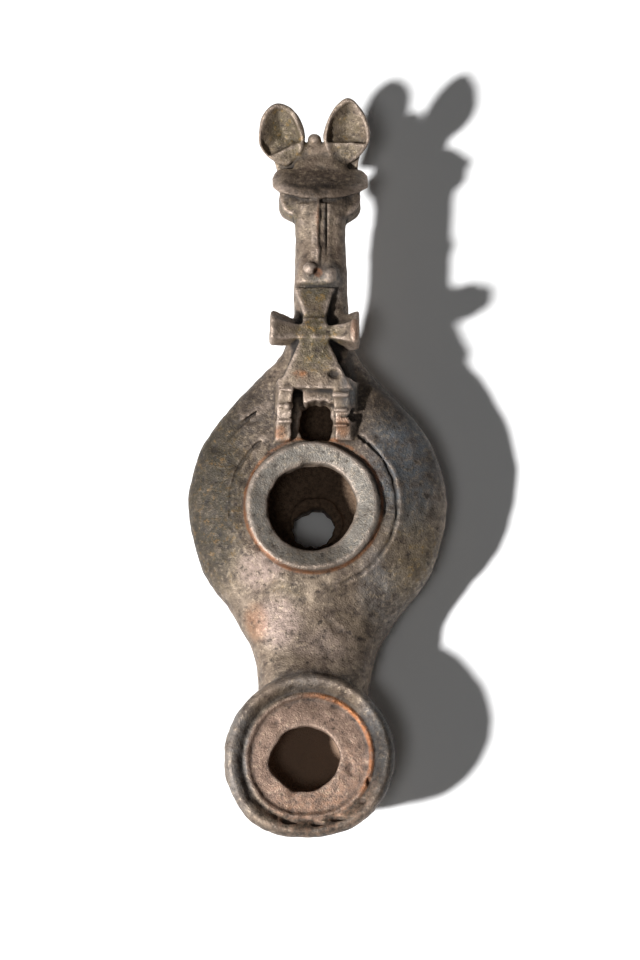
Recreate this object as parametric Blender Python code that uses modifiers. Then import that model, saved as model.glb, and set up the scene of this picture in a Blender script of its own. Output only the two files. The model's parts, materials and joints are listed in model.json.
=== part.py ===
"""A late antique bronze hand lamp, cast in one piece.

A pear-shaped oil vessel stands on a low foot ring. Its spout, with a round wick-hole disc,
points along -Y. Behind it lie a flared cross, whose lower arm splits into two hinge lugs,
and a handle with a long-nosed animal's head. The lid and its pin are lost.
Working frame: filler hole on the Z axis, ground at Z = 0. The last step centres the box.
"""

import math

import bmesh
import bpy
import numpy as np
from mathutils import Matrix, Vector

MM = 0.001
CUTTER_OVERRUN = 4.0 * MM

# Oil vessel
BULB_HALF_WIDTH = 25.6 * MM
BULB_TOP = 22.0 * MM
BULB_UNDERSIDE = 2.6 * MM
WALL = 2.0 * MM
SHOULDER_LENGTH = 36.0 * MM
NECK_OVERLAP = 7.0 * MM
SPOUT_REACH = 48.7 * MM
SPOUT_LEAN = -1.3 * MM
BULB_SHIFT = 0.3 * MM
BODY_SEGMENTS = 36
BODY_RINGS = 27
CHAMBER_SEGMENTS = 28
CHAMBER_RINGS = 19
CHAMBER_ENDS = (-0.96, 0.82)

# Foot and the broken pricket socket in the base
FOOT_RADIUS = 14.2 * MM
FOOT_RIM_WIDTH = 2.6 * MM
FOOT_RECESS = 1.6 * MM
FOOT_BEVEL = 0.6 * MM
SOCKET_RADIUS = 4.1 * MM
SOCKET_WALL = 1.3 * MM
SOCKET_HEIGHT = 1.4 * MM
SOCKET_TAPER = 0.35 * MM

# Filler hole
FILLER_RADIUS = 8.5 * MM
FILLER_SHIFT = -0.8 * MM
RING_RADIUS = 13.2 * MM
RING_RISE = 1.5 * MM
RING_SLOPE = 2.6 * MM
DISC_RADIUS = 16.6 * MM
DISC_SHIFT = Vector((-0.2 * MM, 0.9 * MM))
BEAD_RISE = 0.5 * MM
BEAD_INSET = 0.7 * MM
DISC_EDGE = 1.6 * MM

# Wick-hole disc at the end of the spout
NOZZLE_RADIUS = 16.3 * MM
NOZZLE_RIM_WIDTH = 3.7 * MM
NOZZLE_TOP = 22.8 * MM
NOZZLE_DISH = 1.9 * MM
NOZZLE_BOWL_RADIUS = 15.2 * MM
NOZZLE_UNDERSIDE = 4.6 * MM
NOZZLE_SHOULDER = 6.4 * MM
NOZZLE_EDGE = 0.5 * MM
NOZZLE_TILT = math.radians(1.5)
WICK_RADIUS = 6.7 * MM
WICK_SHIFT = Vector((-0.5 * MM, 0.4 * MM))

# Handle
HANDLE_HALF_WIDTH = 5.2 * MM
HANDLE_TOP = 26.8 * MM
HANDLE_DEPTH = 12.6 * MM
HANDLE_SHIFT = 0.9 * MM
HEAD_END = 73.4 * MM

# Face on the handle
MUZZLE_Y = 45.6 * MM
MUZZLE_HALF_WIDTH = 4.1 * MM
MUZZLE_DEPTH = 5.0 * MM
MUZZLE_RISE = 0.2 * MM
NOSE_SHIFT = 0.3 * MM
NOSE_MIDDLE_Y = 53.5 * MM
NOSE_HALF_WIDTH = 2.7 * MM
NOSE_RIDGE_WIDTH = 1.5 * MM
NOSE_RIDGE_RISE = 1.1 * MM
NOSE_RIDGE_SHIFT = 0.5 * MM
NOSTRIL_RADIUS = 0.7 * MM
FLUTE_WIDTH = 1.1 * MM
FLUTE_DEPTH = 0.6 * MM
EYE_Y = 60.0 * MM
EYE_SPREAD = 5.3 * MM
EYE_RADIUS = 3.0 * MM
EYE_DROP = 2.6 * MM
BROW_Y = 61.0 * MM
BROW_HALF_WIDTH = 9.7 * MM
BROW_CREST = 27.7 * MM
BROW_DEPTH = 7.6 * MM
BROW_BOW = 3.2 * MM
BROW_THICKNESS = 4.0 * MM

# Ears
EAR_BASE_Y = 69.5 * MM
EAR_BASE_Z = 21.8 * MM
EAR_RISE = math.radians(24.0)
EAR_LENGTH = 12.6 * MM
EAR_HALF_WIDTH = 4.7 * MM
EAR_RIM = 0.9 * MM
EAR_THICKNESS = 2.4 * MM
EAR_HOLLOW = 1.7 * MM
EAR_SEGMENTS = 24
# Each side has its length beyond the left ear's, its lean, and where its root and stem stand
EAR_SIDES = {
    "left": (0.0 * MM, -0.19, -5.6 * MM, -4.2 * MM),
    "right": (1.0 * MM, 0.07, 5.5 * MM, 4.9 * MM),
}
# Facets of the hollow: the way that each one faces, and how far off the rim lies, as a share
EAR_FACETS = ((32.5, 1.12), (147.5, 1.12), (270.0, 0.88))
EAR_HEART = 0.42
POLL_RADIUS = 1.4 * MM
POLL_SHIFT = -0.3 * MM

# Cross
CROSS_Y = 34.6 * MM
CROSS_TOP = 28.0 * MM
CROSS_FOOT = 21.0 * MM
CROSS_ARM_LENGTH = 8.0 * MM
CROSS_ARM_RISE = 2.5 * MM
CROSS_ARM_THICKNESS = 4.0 * MM
CROSS_ARM_DROOP = 2.0 * MM
CROSS_WAIST = 2.2 * MM
CROSS_ARM_WAIST = 1.7 * MM
CROSS_ARM_FLARE = 1.7 * MM
CROSS_HEAD_FLARE = 1.9 * MM
CROSS_HEAD_LENGTH = 8.6 * MM
CROSS_HEAD_DROP = 1.8 * MM
CROSS_STEM_LENGTH = 12.0 * MM
CROSS_DRAFT = 1.3 * MM

# Hinge lugs and the break between them
LUG_THICKNESS = 2.4 * MM
LUG_FRONT_Y = 12.9 * MM
LUG_GAP = 8.4 * MM
LUG_TOP = 27.2 * MM
LUG_FRONT_TOP = 23.4 * MM
LUG_SHIFT = -0.3 * MM
LUG_OVERLAP = 2.0 * MM
LUG_DRAFT = 0.9 * MM
PIN_RADIUS = 1.3 * MM
PIN_Y = 18.0 * MM
PIN_Z = 23.6 * MM
BREAK_HALF_WIDTH = 3.3 * MM
BREAK_Y = 16.9 * MM
BREAK_HALF_LENGTH = 3.9 * MM

# Pear outline and side view of the vessel. Each row is the place along the spout (below 0)
# or the shoulder (above 0), then the share of the half width, and the shares of the height
# from the underside to the top at which the crown, the widest line and the belly lie.
VESSEL_SHAPE = (
    (-1.00, 0.39, 0.80, 0.46, 0.12),
    (-0.80, 0.41, 0.86, 0.46, 0.12),
    (-0.68, 0.425, 0.95, 0.47, 0.10),
    (-0.57, 0.47, 0.88, 0.49, 0.08),
    (-0.42, 0.63, 0.89, 0.52, 0.05),
    (-0.22, 0.885, 0.97, 0.57, 0.01),
    (0.06, 1.00, 1.00, 0.61, 0.00),
    (0.30, 0.925, 1.00, 0.66, 0.02),
    (0.52, 0.745, 1.02, 0.71, 0.11),
    (0.74, 0.445, 1.06, 0.77, 0.29),
    (0.89, 0.26, 1.10, 0.84, 0.47),
    (1.00, 0.21, 1.14, 0.87, 0.56),
)
CROWN_FULLNESS = 2.5
BELLY_FULLNESS = 2.1

# Side view and outline of the handle. Each row is the place along it, then what is added to
# the half width, how far the top lies below the handle's top, and how far the underside
# lies above the handle's underside.
HANDLE_SHAPE = (
    (SHOULDER_LENGTH - NECK_OVERLAP, 1.6 * MM, 3.6 * MM, -2.5 * MM),
    (CROSS_Y, 0.8 * MM, 1.6 * MM, -0.8 * MM),
    (CROSS_Y + 5.4 * MM, 0.3 * MM, 1.4 * MM, 0.0 * MM),
    (MUZZLE_Y + 2.0 * MM, -0.1 * MM, 1.1 * MM, 0.0 * MM),
    (NOSE_MIDDLE_Y, -0.3 * MM, 0.4 * MM, 0.4 * MM),
    (EYE_Y - 2.0 * MM, 0.0 * MM, 0.0 * MM, 1.2 * MM),
    (BROW_Y, 1.3 * MM, 0.2 * MM, 2.2 * MM),
    (BROW_Y + 3.6 * MM, 1.3 * MM, 2.6 * MM, 3.0 * MM),
    (HEAD_END - 2.0 * MM, 0.3 * MM, 4.6 * MM, 4.0 * MM),
    (HEAD_END, -1.4 * MM, 5.6 * MM, 5.2 * MM),
)
# The muzzle on it: the place, what is taken off the half width, and what is added to the top
MUZZLE_SHAPE = (
    (MUZZLE_Y - 2.1 * MM, 0.3 * MM, -0.9 * MM),
    (MUZZLE_Y, 0.0 * MM, 0.0 * MM),
    (MUZZLE_Y + 3.0 * MM, 0.4 * MM, 0.0 * MM),
    (MUZZLE_Y + 7.0 * MM, 1.0 * MM, 0.0 * MM),
    (EYE_Y, 0.2 * MM, 0.3 * MM),
)

# Uneven outlines of worn and broken edges: waves round the hole, their share and their phase
WICK_WAVES = ((1, 0.03, 2.6), (2, 0.04, 0.4), (3, 0.03, 1.9), (5, 0.02, 0.3))
BREAK_WAVES = ((2, 0.10, 1.1), (4, 0.06, 0.5), (7, 0.05, 2.0))
SOCKET_WAVES = ((2, 0.04, 0.6), (5, 0.04, 1.0))

# Small turn that keeps the poles of round bosses off their neighbours' edges
BALL_TURN = (0.31, 0.17, 0.23)


def clear_scene():
    for obj in list(bpy.data.objects):
        bpy.data.objects.remove(obj, do_unlink=True)


def new_collection(name):
    collection = bpy.data.collections.new(name)
    bpy.context.scene.collection.children.link(collection)
    return collection


def bronze_material():
    material = bpy.data.materials.new("cast_bronze_patina")
    material.use_nodes = True
    shader = material.node_tree.nodes["Principled BSDF"]
    shader.inputs["Base Color"].default_value = (0.115, 0.088, 0.064, 1.0)
    shader.inputs["Metallic"].default_value = 0.85
    shader.inputs["Roughness"].default_value = 0.5
    return material


def new_object(name, mesh, collection):
    obj = bpy.data.objects.new(name, mesh)
    collection.objects.link(obj)
    return obj


def smooth_rows(rows, places):
    """Values of a table at the given places, on smooth curves that never overshoot."""
    table = np.array(rows, dtype=float)
    knots, values = table[:, 0], table[:, 1:]
    steps = np.diff(knots)[:, None]
    slopes = np.diff(values, axis=0) / steps
    same_way = slopes[:-1] * slopes[1:] > 0
    safe_sum = np.where(same_way, slopes[:-1] + slopes[1:], 1.0)
    inner = np.where(same_way, 2 * slopes[:-1] * slopes[1:] / safe_sum, 0.0)
    tangents = np.vstack([slopes[:1], inner, slopes[-1:]])
    places = np.clip(np.asarray(places, dtype=float), knots[0], knots[-1])
    span = np.clip(np.searchsorted(knots, places, side="right") - 1, 0, len(knots) - 2)
    width = steps[span]
    t = (places - knots[span])[:, None] / width
    rise = values[span + 1] - values[span]
    start, end = tangents[span] * width, tangents[span + 1] * width
    bend = (3 * rise - 2 * start - end) * t**2 + (start + end - 2 * rise) * t**3
    return values[span] + start * t + bend


def loft(name, rings, collection):
    """A closed solid through rings of equal point counts, with flat ends."""
    mesh = bpy.data.meshes.new(name)
    shell = bmesh.new()
    layers = [[shell.verts.new(point) for point in ring] for ring in rings]
    count = len(layers[0])
    for near, far in zip(layers, layers[1:]):
        for i in range(count):
            j = (i + 1) % count
            shell.faces.new((near[i], near[j], far[j], far[i]))
    shell.faces.new(list(reversed(layers[0])))
    shell.faces.new(layers[-1])
    bmesh.ops.recalc_face_normals(shell, faces=shell.faces)
    shell.to_mesh(mesh)
    shell.free()
    return new_object(name, mesh, collection)


def turned(name, profile, centre, collection, segments=40, tilt=0.0, pivot_z=0.0):
    """A solid of revolution from (radius, height) points, outer side first, top to bottom."""
    mesh = bpy.data.meshes.new(name)
    points = [(radius, 0.0, height - pivot_z) for radius, height in profile]
    edges = [(i, i + 1) for i in range(len(points) - 1)]
    mesh.from_pydata(points, edges, [])
    obj = new_object(name, mesh, collection)
    screw = obj.modifiers.new("turn", "SCREW")
    screw.axis = "Z"
    screw.steps = segments
    screw.render_steps = segments
    screw.use_merge_vertices = True
    screw.merge_threshold = 0.00001
    screw.use_smooth_shade = False
    obj.location = (centre[0], centre[1], pivot_z)
    obj.rotation_euler = (tilt, 0.0, 0.0)
    return obj


def ball(name, centre, radii, collection, segments=14, rings=9):
    mesh = bpy.data.meshes.new(name)
    shell = bmesh.new()
    bmesh.ops.create_uvsphere(shell, u_segments=segments, v_segments=rings, radius=1.0)
    bmesh.ops.transform(shell, matrix=Matrix.Diagonal((*radii, 1.0)), verts=shell.verts)
    shell.to_mesh(mesh)
    shell.free()
    obj = new_object(name, mesh, collection)
    obj.location = centre
    obj.rotation_euler = BALL_TURN
    return obj


def drum(name, centre, radius, depth, collection, along="Z", segments=24, radius_top=None):
    """A plain round cutter or boss along one axis."""
    mesh = bpy.data.meshes.new(name)
    shell = bmesh.new()
    top = radius if radius_top is None else radius_top
    bmesh.ops.create_cone(
        shell, cap_ends=True, segments=segments, radius1=radius, radius2=top, depth=depth
    )
    if along == "X":
        bmesh.ops.rotate(shell, matrix=Matrix.Rotation(math.pi / 2, 3, "Y"), verts=shell.verts)
    shell.to_mesh(mesh)
    shell.free()
    obj = new_object(name, mesh, collection)
    obj.location = centre
    return obj


def vessel_rings(inset, start, end, count, segments):
    """Rings of the pear-shaped vessel, drawn in by the wall for its hollow."""
    places = np.linspace(start, end, count)
    height = BULB_TOP - BULB_UNDERSIDE
    angles = np.linspace(0.0, 2 * math.pi, segments, endpoint=False)
    rings = []
    for place, (width, crown, widest, belly) in zip(places, smooth_rows(VESSEL_SHAPE, places)):
        along = place * (SPOUT_REACH if place < 0 else SHOULDER_LENGTH)
        towards_spout = max(0.0, -place) ** 2
        lean = BULB_SHIFT + (SPOUT_LEAN - BULB_SHIFT) * towards_spout
        half_width = width * BULB_HALF_WIDTH - inset
        middle = BULB_UNDERSIDE + widest * height
        up = BULB_UNDERSIDE + crown * height - middle - inset
        down = middle - BULB_UNDERSIDE - belly * height - inset
        ring = []
        for angle in angles:
            fullness = CROWN_FULLNESS if math.sin(angle) > 0 else BELLY_FULLNESS
            side = math.copysign(abs(math.cos(angle)) ** (2 / fullness), math.cos(angle))
            lift = math.copysign(abs(math.sin(angle)) ** (2 / fullness), math.sin(angle))
            reach = up if lift > 0 else down
            ring.append((lean + half_width * side, along, middle + reach * lift))
        rings.append(ring)
    return rings


def bar_rings(stations, shift, segments=20, fullness=4.0):
    """Rings of a bar with rounded corners. A station is (y, half width, top, bottom)."""
    rings = []
    for y, half_width, top, bottom in stations:
        ring = []
        for i in range(segments):
            angle = 2 * math.pi * i / segments
            side = math.copysign(abs(math.cos(angle)) ** (2 / fullness), math.cos(angle))
            lift = math.copysign(abs(math.sin(angle)) ** (2 / fullness), math.sin(angle))
            middle, reach = (top + bottom) / 2, (top - bottom) / 2
            ring.append((shift + half_width * side, y, middle + reach * lift))
        rings.append(ring)
    return rings


def arm_rings(centre, direction, stations):
    """Rings of a bevelled cross arm that grows along a level direction.

    A station is (distance, left width, right width, top, bottom, left draft, right draft).
    The drafts make the foot of the arm wider than its face on each side.
    """
    along = Vector((direction[0], direction[1], 0.0))
    left = Vector((-direction[1], direction[0], 0.0))
    rings = []
    for distance, left_width, right_width, top, bottom, left_draft, right_draft in stations:
        middle = centre + along * distance
        up, down = Vector((0.0, 0.0, top)), Vector((0.0, 0.0, bottom))
        rings.append([
            middle + left * left_width + up,
            middle - left * right_width + up,
            middle - left * (right_width + right_draft) + down,
            middle + left * (left_width + left_draft) + down,
        ])
    return rings


def vessel(collection):
    rings = vessel_rings(0.0, -1.0, 1.0, BODY_RINGS, BODY_SEGMENTS)
    return loft("lamp_casting", rings, collection)


def foot(collection):
    rim_inner = FOOT_RADIUS - FOOT_RIM_WIDTH
    shoulder = BULB_UNDERSIDE + WALL
    profile = (
        (0.0, shoulder),
        (FOOT_RADIUS - FOOT_BEVEL, shoulder),
        (FOOT_RADIUS, FOOT_BEVEL),
        (FOOT_RADIUS - FOOT_BEVEL, 0.0),
        (rim_inner, 0.0),
        (rim_inner - FOOT_BEVEL, FOOT_RECESS),
        (0.0, FOOT_RECESS),
    )
    return turned("foot_ring", profile, (0.0, 0.0), collection)


def filler_ring(collection):
    deck = BULB_TOP
    crest = deck + RING_RISE
    profile = (
        (0.0, crest),
        (RING_RADIUS - RING_SLOPE, crest),
        (RING_RADIUS - 0.4 * RING_SLOPE, crest - 0.2 * RING_RISE),
        (RING_RADIUS, deck - 0.1 * RING_RISE),
        (0.0, deck - WALL),
    )
    return turned("filler_ring", profile, (FILLER_SHIFT, 0.0), collection)


def filler_disc(collection):
    deck = BULB_TOP - BEAD_RISE
    bead = DISC_RADIUS - BEAD_INSET
    profile = (
        (0.0, deck),
        (bead - 1.3 * BEAD_INSET, deck),
        (bead, BULB_TOP),
        (DISC_RADIUS, deck),
        (DISC_RADIUS + 0.6 * DISC_EDGE, deck - DISC_EDGE),
        (0.0, deck - 2 * WALL),
    )
    return turned("filler_disc", profile, DISC_SHIFT, collection)


def bowl_profile(radius, shoulder_z, bottom_z, steps=6):
    """The lower side of a round bowl: a quarter of a superellipse down to the axis."""
    points = []
    for i in range(steps + 1):
        angle = math.pi / 2 * i / steps
        across = radius * math.cos(angle) ** 0.7
        drop = (shoulder_z - bottom_z) * math.sin(angle) ** 1.1
        points.append((max(0.0, across) if i < steps else 0.0, shoulder_z - drop))
    return points


def nozzle(collection):
    dish = NOZZLE_TOP - NOZZLE_DISH
    rim_inner = NOZZLE_RADIUS - NOZZLE_RIM_WIDTH
    profile = [
        (0.0, dish - 0.15 * NOZZLE_DISH),
        (rim_inner - 0.25 * NOZZLE_RIM_WIDTH, dish),
        (rim_inner, dish + 0.5 * NOZZLE_DISH),
        (rim_inner + 0.2 * NOZZLE_RIM_WIDTH, NOZZLE_TOP - 0.1 * NOZZLE_DISH),
        (rim_inner + 0.5 * NOZZLE_RIM_WIDTH, NOZZLE_TOP),
        (NOZZLE_RADIUS - NOZZLE_EDGE, NOZZLE_TOP - 1.4 * NOZZLE_EDGE),
        (NOZZLE_RADIUS, NOZZLE_TOP - 4.2 * NOZZLE_EDGE),
        (NOZZLE_RADIUS - NOZZLE_EDGE, NOZZLE_TOP - 7.6 * NOZZLE_EDGE),
    ]
    profile += bowl_profile(NOZZLE_BOWL_RADIUS, NOZZLE_TOP - NOZZLE_SHOULDER, NOZZLE_UNDERSIDE)
    centre = (SPOUT_LEAN, -SPOUT_REACH)
    return turned("nozzle", profile, centre, collection, tilt=NOZZLE_TILT, pivot_z=NOZZLE_TOP)


def handle(collection):
    under = HANDLE_TOP - HANDLE_DEPTH
    stations = [
        (y, HANDLE_HALF_WIDTH + wider, HANDLE_TOP - lower, under + higher)
        for y, wider, lower, higher in HANDLE_SHAPE
    ]
    return loft("handle", bar_rings(stations, HANDLE_SHIFT), collection)


def muzzle(collection):
    top = HANDLE_TOP + MUZZLE_RISE
    stations = [
        (y, MUZZLE_HALF_WIDTH - narrower, top + higher, top - MUZZLE_DEPTH)
        for y, narrower, higher in MUZZLE_SHAPE
    ]
    rings = bar_rings(stations, NOSE_SHIFT, segments=12, fullness=3.0)
    return loft("muzzle", rings, collection)


def nose_ridge(collection):
    half = NOSE_RIDGE_WIDTH / 2
    base = HANDLE_TOP - NOSE_RIDGE_RISE
    middle = NOSE_RIDGE_SHIFT
    rings = []
    for y, share in (
        (MUZZLE_Y + NOSE_RIDGE_WIDTH / 2, 0.65),
        (NOSE_MIDDLE_Y, 1.0),
        (BROW_Y + NOSE_RIDGE_WIDTH, 1.0),
    ):
        crest = HANDLE_TOP + share * NOSE_RIDGE_RISE
        edge = crest - 0.3 * NOSE_RIDGE_RISE
        rings.append([
            (middle - half, y, base),
            (middle + half, y, base),
            (middle + 0.7 * half, y, edge),
            (middle, y, crest),
            (middle - 0.7 * half, y, edge),
        ])
    return loft("nose_ridge", rings, collection)


def flute_cutter(collection):
    """The shallow groove on the right of the nose ridge."""
    middle = NOSE_RIDGE_SHIFT + NOSE_RIDGE_WIDTH / 2 + FLUTE_WIDTH / 2
    surface = HANDLE_TOP + MUZZLE_RISE
    rings = []
    for y in (MUZZLE_Y + NOSE_HALF_WIDTH, NOSE_MIDDLE_Y, EYE_Y - FLUTE_WIDTH):
        rings.append([
            (middle - FLUTE_WIDTH / 2, y, surface + 2 * FLUTE_DEPTH),
            (middle - FLUTE_WIDTH / 2, y, surface + 0.2 * FLUTE_DEPTH),
            (middle, y, surface - FLUTE_DEPTH),
            (middle + FLUTE_WIDTH / 2, y, surface + 0.2 * FLUTE_DEPTH),
            (middle + FLUTE_WIDTH / 2, y, surface + 2 * FLUTE_DEPTH),
        ])
    return loft("flute", rings, collection)


def brow(collection):
    """The overhanging brow: a wedge with its crest in front, bowed towards the nose."""
    rings = []
    for angle in np.linspace(-90.0, 90.0, 11):
        share = math.sin(math.radians(angle))
        x = HANDLE_SHIFT + share * BROW_HALF_WIDTH
        bow = abs(share) ** 2.4
        taper = math.sqrt(max(0.04, 1.0 - abs(share) ** 4.0))
        front = BROW_Y + BROW_BOW * bow
        crest = BROW_CREST - 1.06 * BROW_BOW * bow
        depth = BROW_DEPTH * (0.2 + 0.8 * taper)
        thickness = BROW_THICKNESS * (0.2 + 0.8 * taper)
        rings.append([
            (x, front, crest),
            (x, front + 0.25 * depth, crest - 0.015 * depth),
            (x, front + depth, crest - 0.5 * depth),
            (x, front + depth, crest - 0.5 * depth - 0.6 * thickness),
            (x, front + 0.3 * depth, crest - thickness),
            (x, front, crest - 0.15 * BROW_THICKNESS),
        ])
    return loft("brow", rings, collection)


def eye(side, collection):
    centre = (HANDLE_SHIFT + side * EYE_SPREAD, EYE_Y, HANDLE_TOP - EYE_DROP)
    radii = (EYE_RADIUS, EYE_RADIUS, 0.8 * EYE_RADIUS)
    return ball(f"eye_{'right' if side > 0 else 'left'}", centre, radii, collection)


def ear_floor(point):
    """Depth of the ear's hollow, whose three flat facets meet in its deepest point."""
    slopes = []
    for angle, run in EAR_FACETS:
        facing = Vector((math.cos(math.radians(angle)), math.sin(math.radians(angle))))
        slopes.append(point.dot(facing) / (run * EAR_HALF_WIDTH))
    return EAR_HOLLOW * min(-0.09, max(slopes) - 1.0)


def ear(side, collection):
    """A hollow leaf-shaped ear that leans back, with a raised rim."""
    longer, lean, root_x, _ = EAR_SIDES[side]
    length = EAR_LENGTH + longer
    along = Vector((lean, math.cos(EAR_RISE), math.sin(EAR_RISE))).normalized()
    across = Vector((1.0, -lean, 0.0)).normalized()
    face = across.cross(along)
    heart = Vector((root_x, EAR_BASE_Y, EAR_BASE_Z)) + along * (EAR_HEART * length)
    outline = []
    for i in range(EAR_SEGMENTS):
        angle = 2 * math.pi * i / EAR_SEGMENTS
        reach = (1.0 - EAR_HEART if math.sin(angle) > 0 else EAR_HEART) * length
        outline.append(Vector((EAR_HALF_WIDTH * math.cos(angle), reach * math.sin(angle))))

    def ring(share, depths):
        return [
            heart + across * p.x * share + along * p.y * share + face * depth
            for p, depth in zip(outline, depths)
        ]

    rim_share = 1.0 - EAR_RIM / EAR_HALF_WIDTH
    floor = [ear_floor(p * rim_share) for p in outline]
    rings = [
        ring(0.45, [-EAR_THICKNESS] * EAR_SEGMENTS),
        ring(0.82, [-0.75 * EAR_THICKNESS] * EAR_SEGMENTS),
        ring(1.0, [-0.35 * EAR_THICKNESS] * EAR_SEGMENTS),
        ring(0.98, [0.0] * EAR_SEGMENTS),
        ring(rim_share + 0.03, [0.0] * EAR_SEGMENTS),
        ring(rim_share, floor),
        ring(0.06, [-EAR_HOLLOW] * EAR_SEGMENTS),
    ]
    return loft(f"ear_{side}", rings, collection)


def ear_stem(side, collection):
    """The thick root that carries an ear down to the back of the brow."""
    _, _, top_x, root_x = EAR_SIDES[side]
    start_y = BROW_Y + 0.8 * BROW_DEPTH
    run = EAR_BASE_Y + 0.35 * EAR_LENGTH - start_y
    rings = []
    for share in (0.0, 0.5, 1.0):
        x = root_x + (top_x - root_x) * share
        y = start_y + run * share
        half = EAR_HALF_WIDTH * (0.68 + 0.14 * share)
        surface = EAR_BASE_Z + (y - EAR_BASE_Y) * math.tan(EAR_RISE) - 0.4 * EAR_THICKNESS
        under = surface - EAR_THICKNESS * (0.9 - 0.4 * share)
        rings.append([
            (x - half, y, surface),
            (x + half, y, surface),
            (x + 0.8 * half, y, under),
            (x - 0.8 * half, y, under),
        ])
    return loft(f"ear_stem_{side}", rings, collection)


def poll(collection):
    """The bar that joins the ears behind the brow, with a small knob on it."""
    bar_centre = (POLL_SHIFT, HEAD_END, EAR_BASE_Z - 0.3 * POLL_RADIUS)
    knob_centre = (POLL_SHIFT, HEAD_END + 1.1 * POLL_RADIUS, EAR_BASE_Z + 0.6 * POLL_RADIUS)
    length = 2 * EAR_HALF_WIDTH
    bar = drum("poll_bar", bar_centre, POLL_RADIUS, length, collection, along="X", segments=12)
    knob = ball("poll_knob", knob_centre, (POLL_RADIUS,) * 3, collection, segments=12, rings=8)
    return [bar, knob]


def side_arm_stations(side):
    stations = []
    for share in (0.0, 0.3, 0.65, 1.0):
        rear = CROSS_ARM_WAIST + 0.3 * CROSS_ARM_FLARE * share
        front = CROSS_ARM_WAIST + CROSS_ARM_FLARE * share**1.6
        rear_draft = CROSS_DRAFT * (0.55 + 1.85 * share**1.3)
        front_draft = 0.15 * CROSS_DRAFT
        top = CROSS_TOP + CROSS_ARM_RISE * share**2
        bottom = top - CROSS_ARM_THICKNESS - (1.0 - share) * CROSS_ARM_DROOP
        widths = (rear, front) if side > 0 else (front, rear)
        drafts = (rear_draft, front_draft) if side > 0 else (front_draft, rear_draft)
        stations.append((share * CROSS_ARM_LENGTH, *widths, top, bottom, *drafts))
    return stations


def upright_stations(length, spread, curve, top_end, bottom):
    """Stations of an arm along the lamp, from just behind the middle to its spread end."""
    stations = []
    for share in (-0.2, 0.25, 0.6, 1.0):
        out = max(0.0, share)
        half = CROSS_WAIST + (spread - CROSS_WAIST) * out**curve
        top = CROSS_TOP + (top_end - CROSS_TOP) * out
        stations.append((share * length, half, half, top, bottom, CROSS_DRAFT, CROSS_DRAFT))
    return stations


def cross_forms(collection):
    """The four arms of the flared cross. The side arms rise like wings to their ends."""
    centre = Vector((0.0, CROSS_Y, 0.0))
    lug_spread = LUG_GAP / 2 + LUG_THICKNESS
    stem = upright_stations(CROSS_STEM_LENGTH, lug_spread, 1.5, LUG_TOP, CROSS_FOOT - WALL)
    head_spread = CROSS_WAIST + CROSS_HEAD_FLARE
    head_top = CROSS_TOP - CROSS_HEAD_DROP
    head = upright_stations(CROSS_HEAD_LENGTH, head_spread, 1.8, head_top, CROSS_FOOT + WALL / 2)
    return [
        loft("cross_stem", arm_rings(centre, (0.0, -1.0), stem), collection),
        loft("cross_arm_left", arm_rings(centre, (-1.0, 0.0), side_arm_stations(-1)), collection),
        loft("cross_arm_right", arm_rings(centre, (1.0, 0.0), side_arm_stations(1)), collection),
        loft("cross_head", arm_rings(centre, (0.0, 1.0), head), collection),
    ]


def lug(side, collection):
    """One hinge lug: a leaning plate that steps down towards the filler ring."""
    rear_y = CROSS_Y - CROSS_STEM_LENGTH + LUG_OVERLAP
    foot_z = BULB_TOP - 0.8 * WALL
    rings = []
    for share in (0.0, 0.4, 0.75, 1.0):
        y = rear_y + (LUG_FRONT_Y - rear_y) * share
        inner = LUG_GAP / 2 + LUG_DRAFT * (share - 0.5)
        outer = inner + LUG_THICKNESS
        top = LUG_TOP + (LUG_FRONT_TOP - LUG_TOP) * share**1.6
        rings.append([
            (side * inner + LUG_SHIFT, y, top),
            (side * outer + LUG_SHIFT, y, top - 0.2 * LUG_DRAFT),
            (side * (outer + LUG_DRAFT) + LUG_SHIFT, y, foot_z),
            (side * inner + LUG_SHIFT, y, foot_z),
        ])
    return loft(f"lug_{'right' if side > 0 else 'left'}", rings, collection)


def nozzle_hollow(collection):
    ceiling = NOZZLE_TOP - NOZZLE_DISH - WALL
    radius = NOZZLE_BOWL_RADIUS - WALL
    profile = [
        (0.0, ceiling),
        (radius - 0.6 * WALL, ceiling),
        (radius - 0.15 * WALL, ceiling - 0.5 * WALL),
    ]
    profile += bowl_profile(radius, NOZZLE_TOP - NOZZLE_SHOULDER, NOZZLE_UNDERSIDE + WALL)
    return turned("nozzle_hollow", profile, (SPOUT_LEAN, -SPOUT_REACH), collection, segments=32)


def ragged_drum(name, centre, radii, bottom, top, waves, collection, segments=22):
    """A cutter with an uneven round outline, for a worn or broken edge."""
    outline = []
    for i in range(segments):
        angle = 2 * math.pi * i / segments
        wobble = 1.0 + sum(size * math.sin(count * angle + phase) for count, size, phase in waves)
        x = centre[0] + radii[0] * wobble * math.cos(angle)
        y = centre[1] + radii[1] * wobble * math.sin(angle)
        outline.append((x, y))
    rings = [[(x, y, z) for x, y in outline] for z in (bottom, top)]
    return loft(name, rings, collection)


def hollows(cutters):
    """The oil chamber, the wick channel and the spout's inside."""
    rings = vessel_rings(WALL, *CHAMBER_ENDS, CHAMBER_RINGS, CHAMBER_SEGMENTS)
    chamber = loft("oil_chamber", rings, cutters)
    return [chamber, nozzle_hollow(cutters)]


def socket(collection):
    """The stump of the pricket socket, which stands up from the base inside the vessel."""
    base_z = (FOOT_RECESS + BULB_UNDERSIDE + WALL) / 2
    top_z = BULB_UNDERSIDE + WALL + SOCKET_HEIGHT
    outer = SOCKET_RADIUS + SOCKET_WALL
    return drum(
        "socket", (0.0, 0.0, (base_z + top_z) / 2), outer + SOCKET_TAPER, top_z - base_z,
        collection, radius_top=outer - SOCKET_TAPER,
    )


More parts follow.
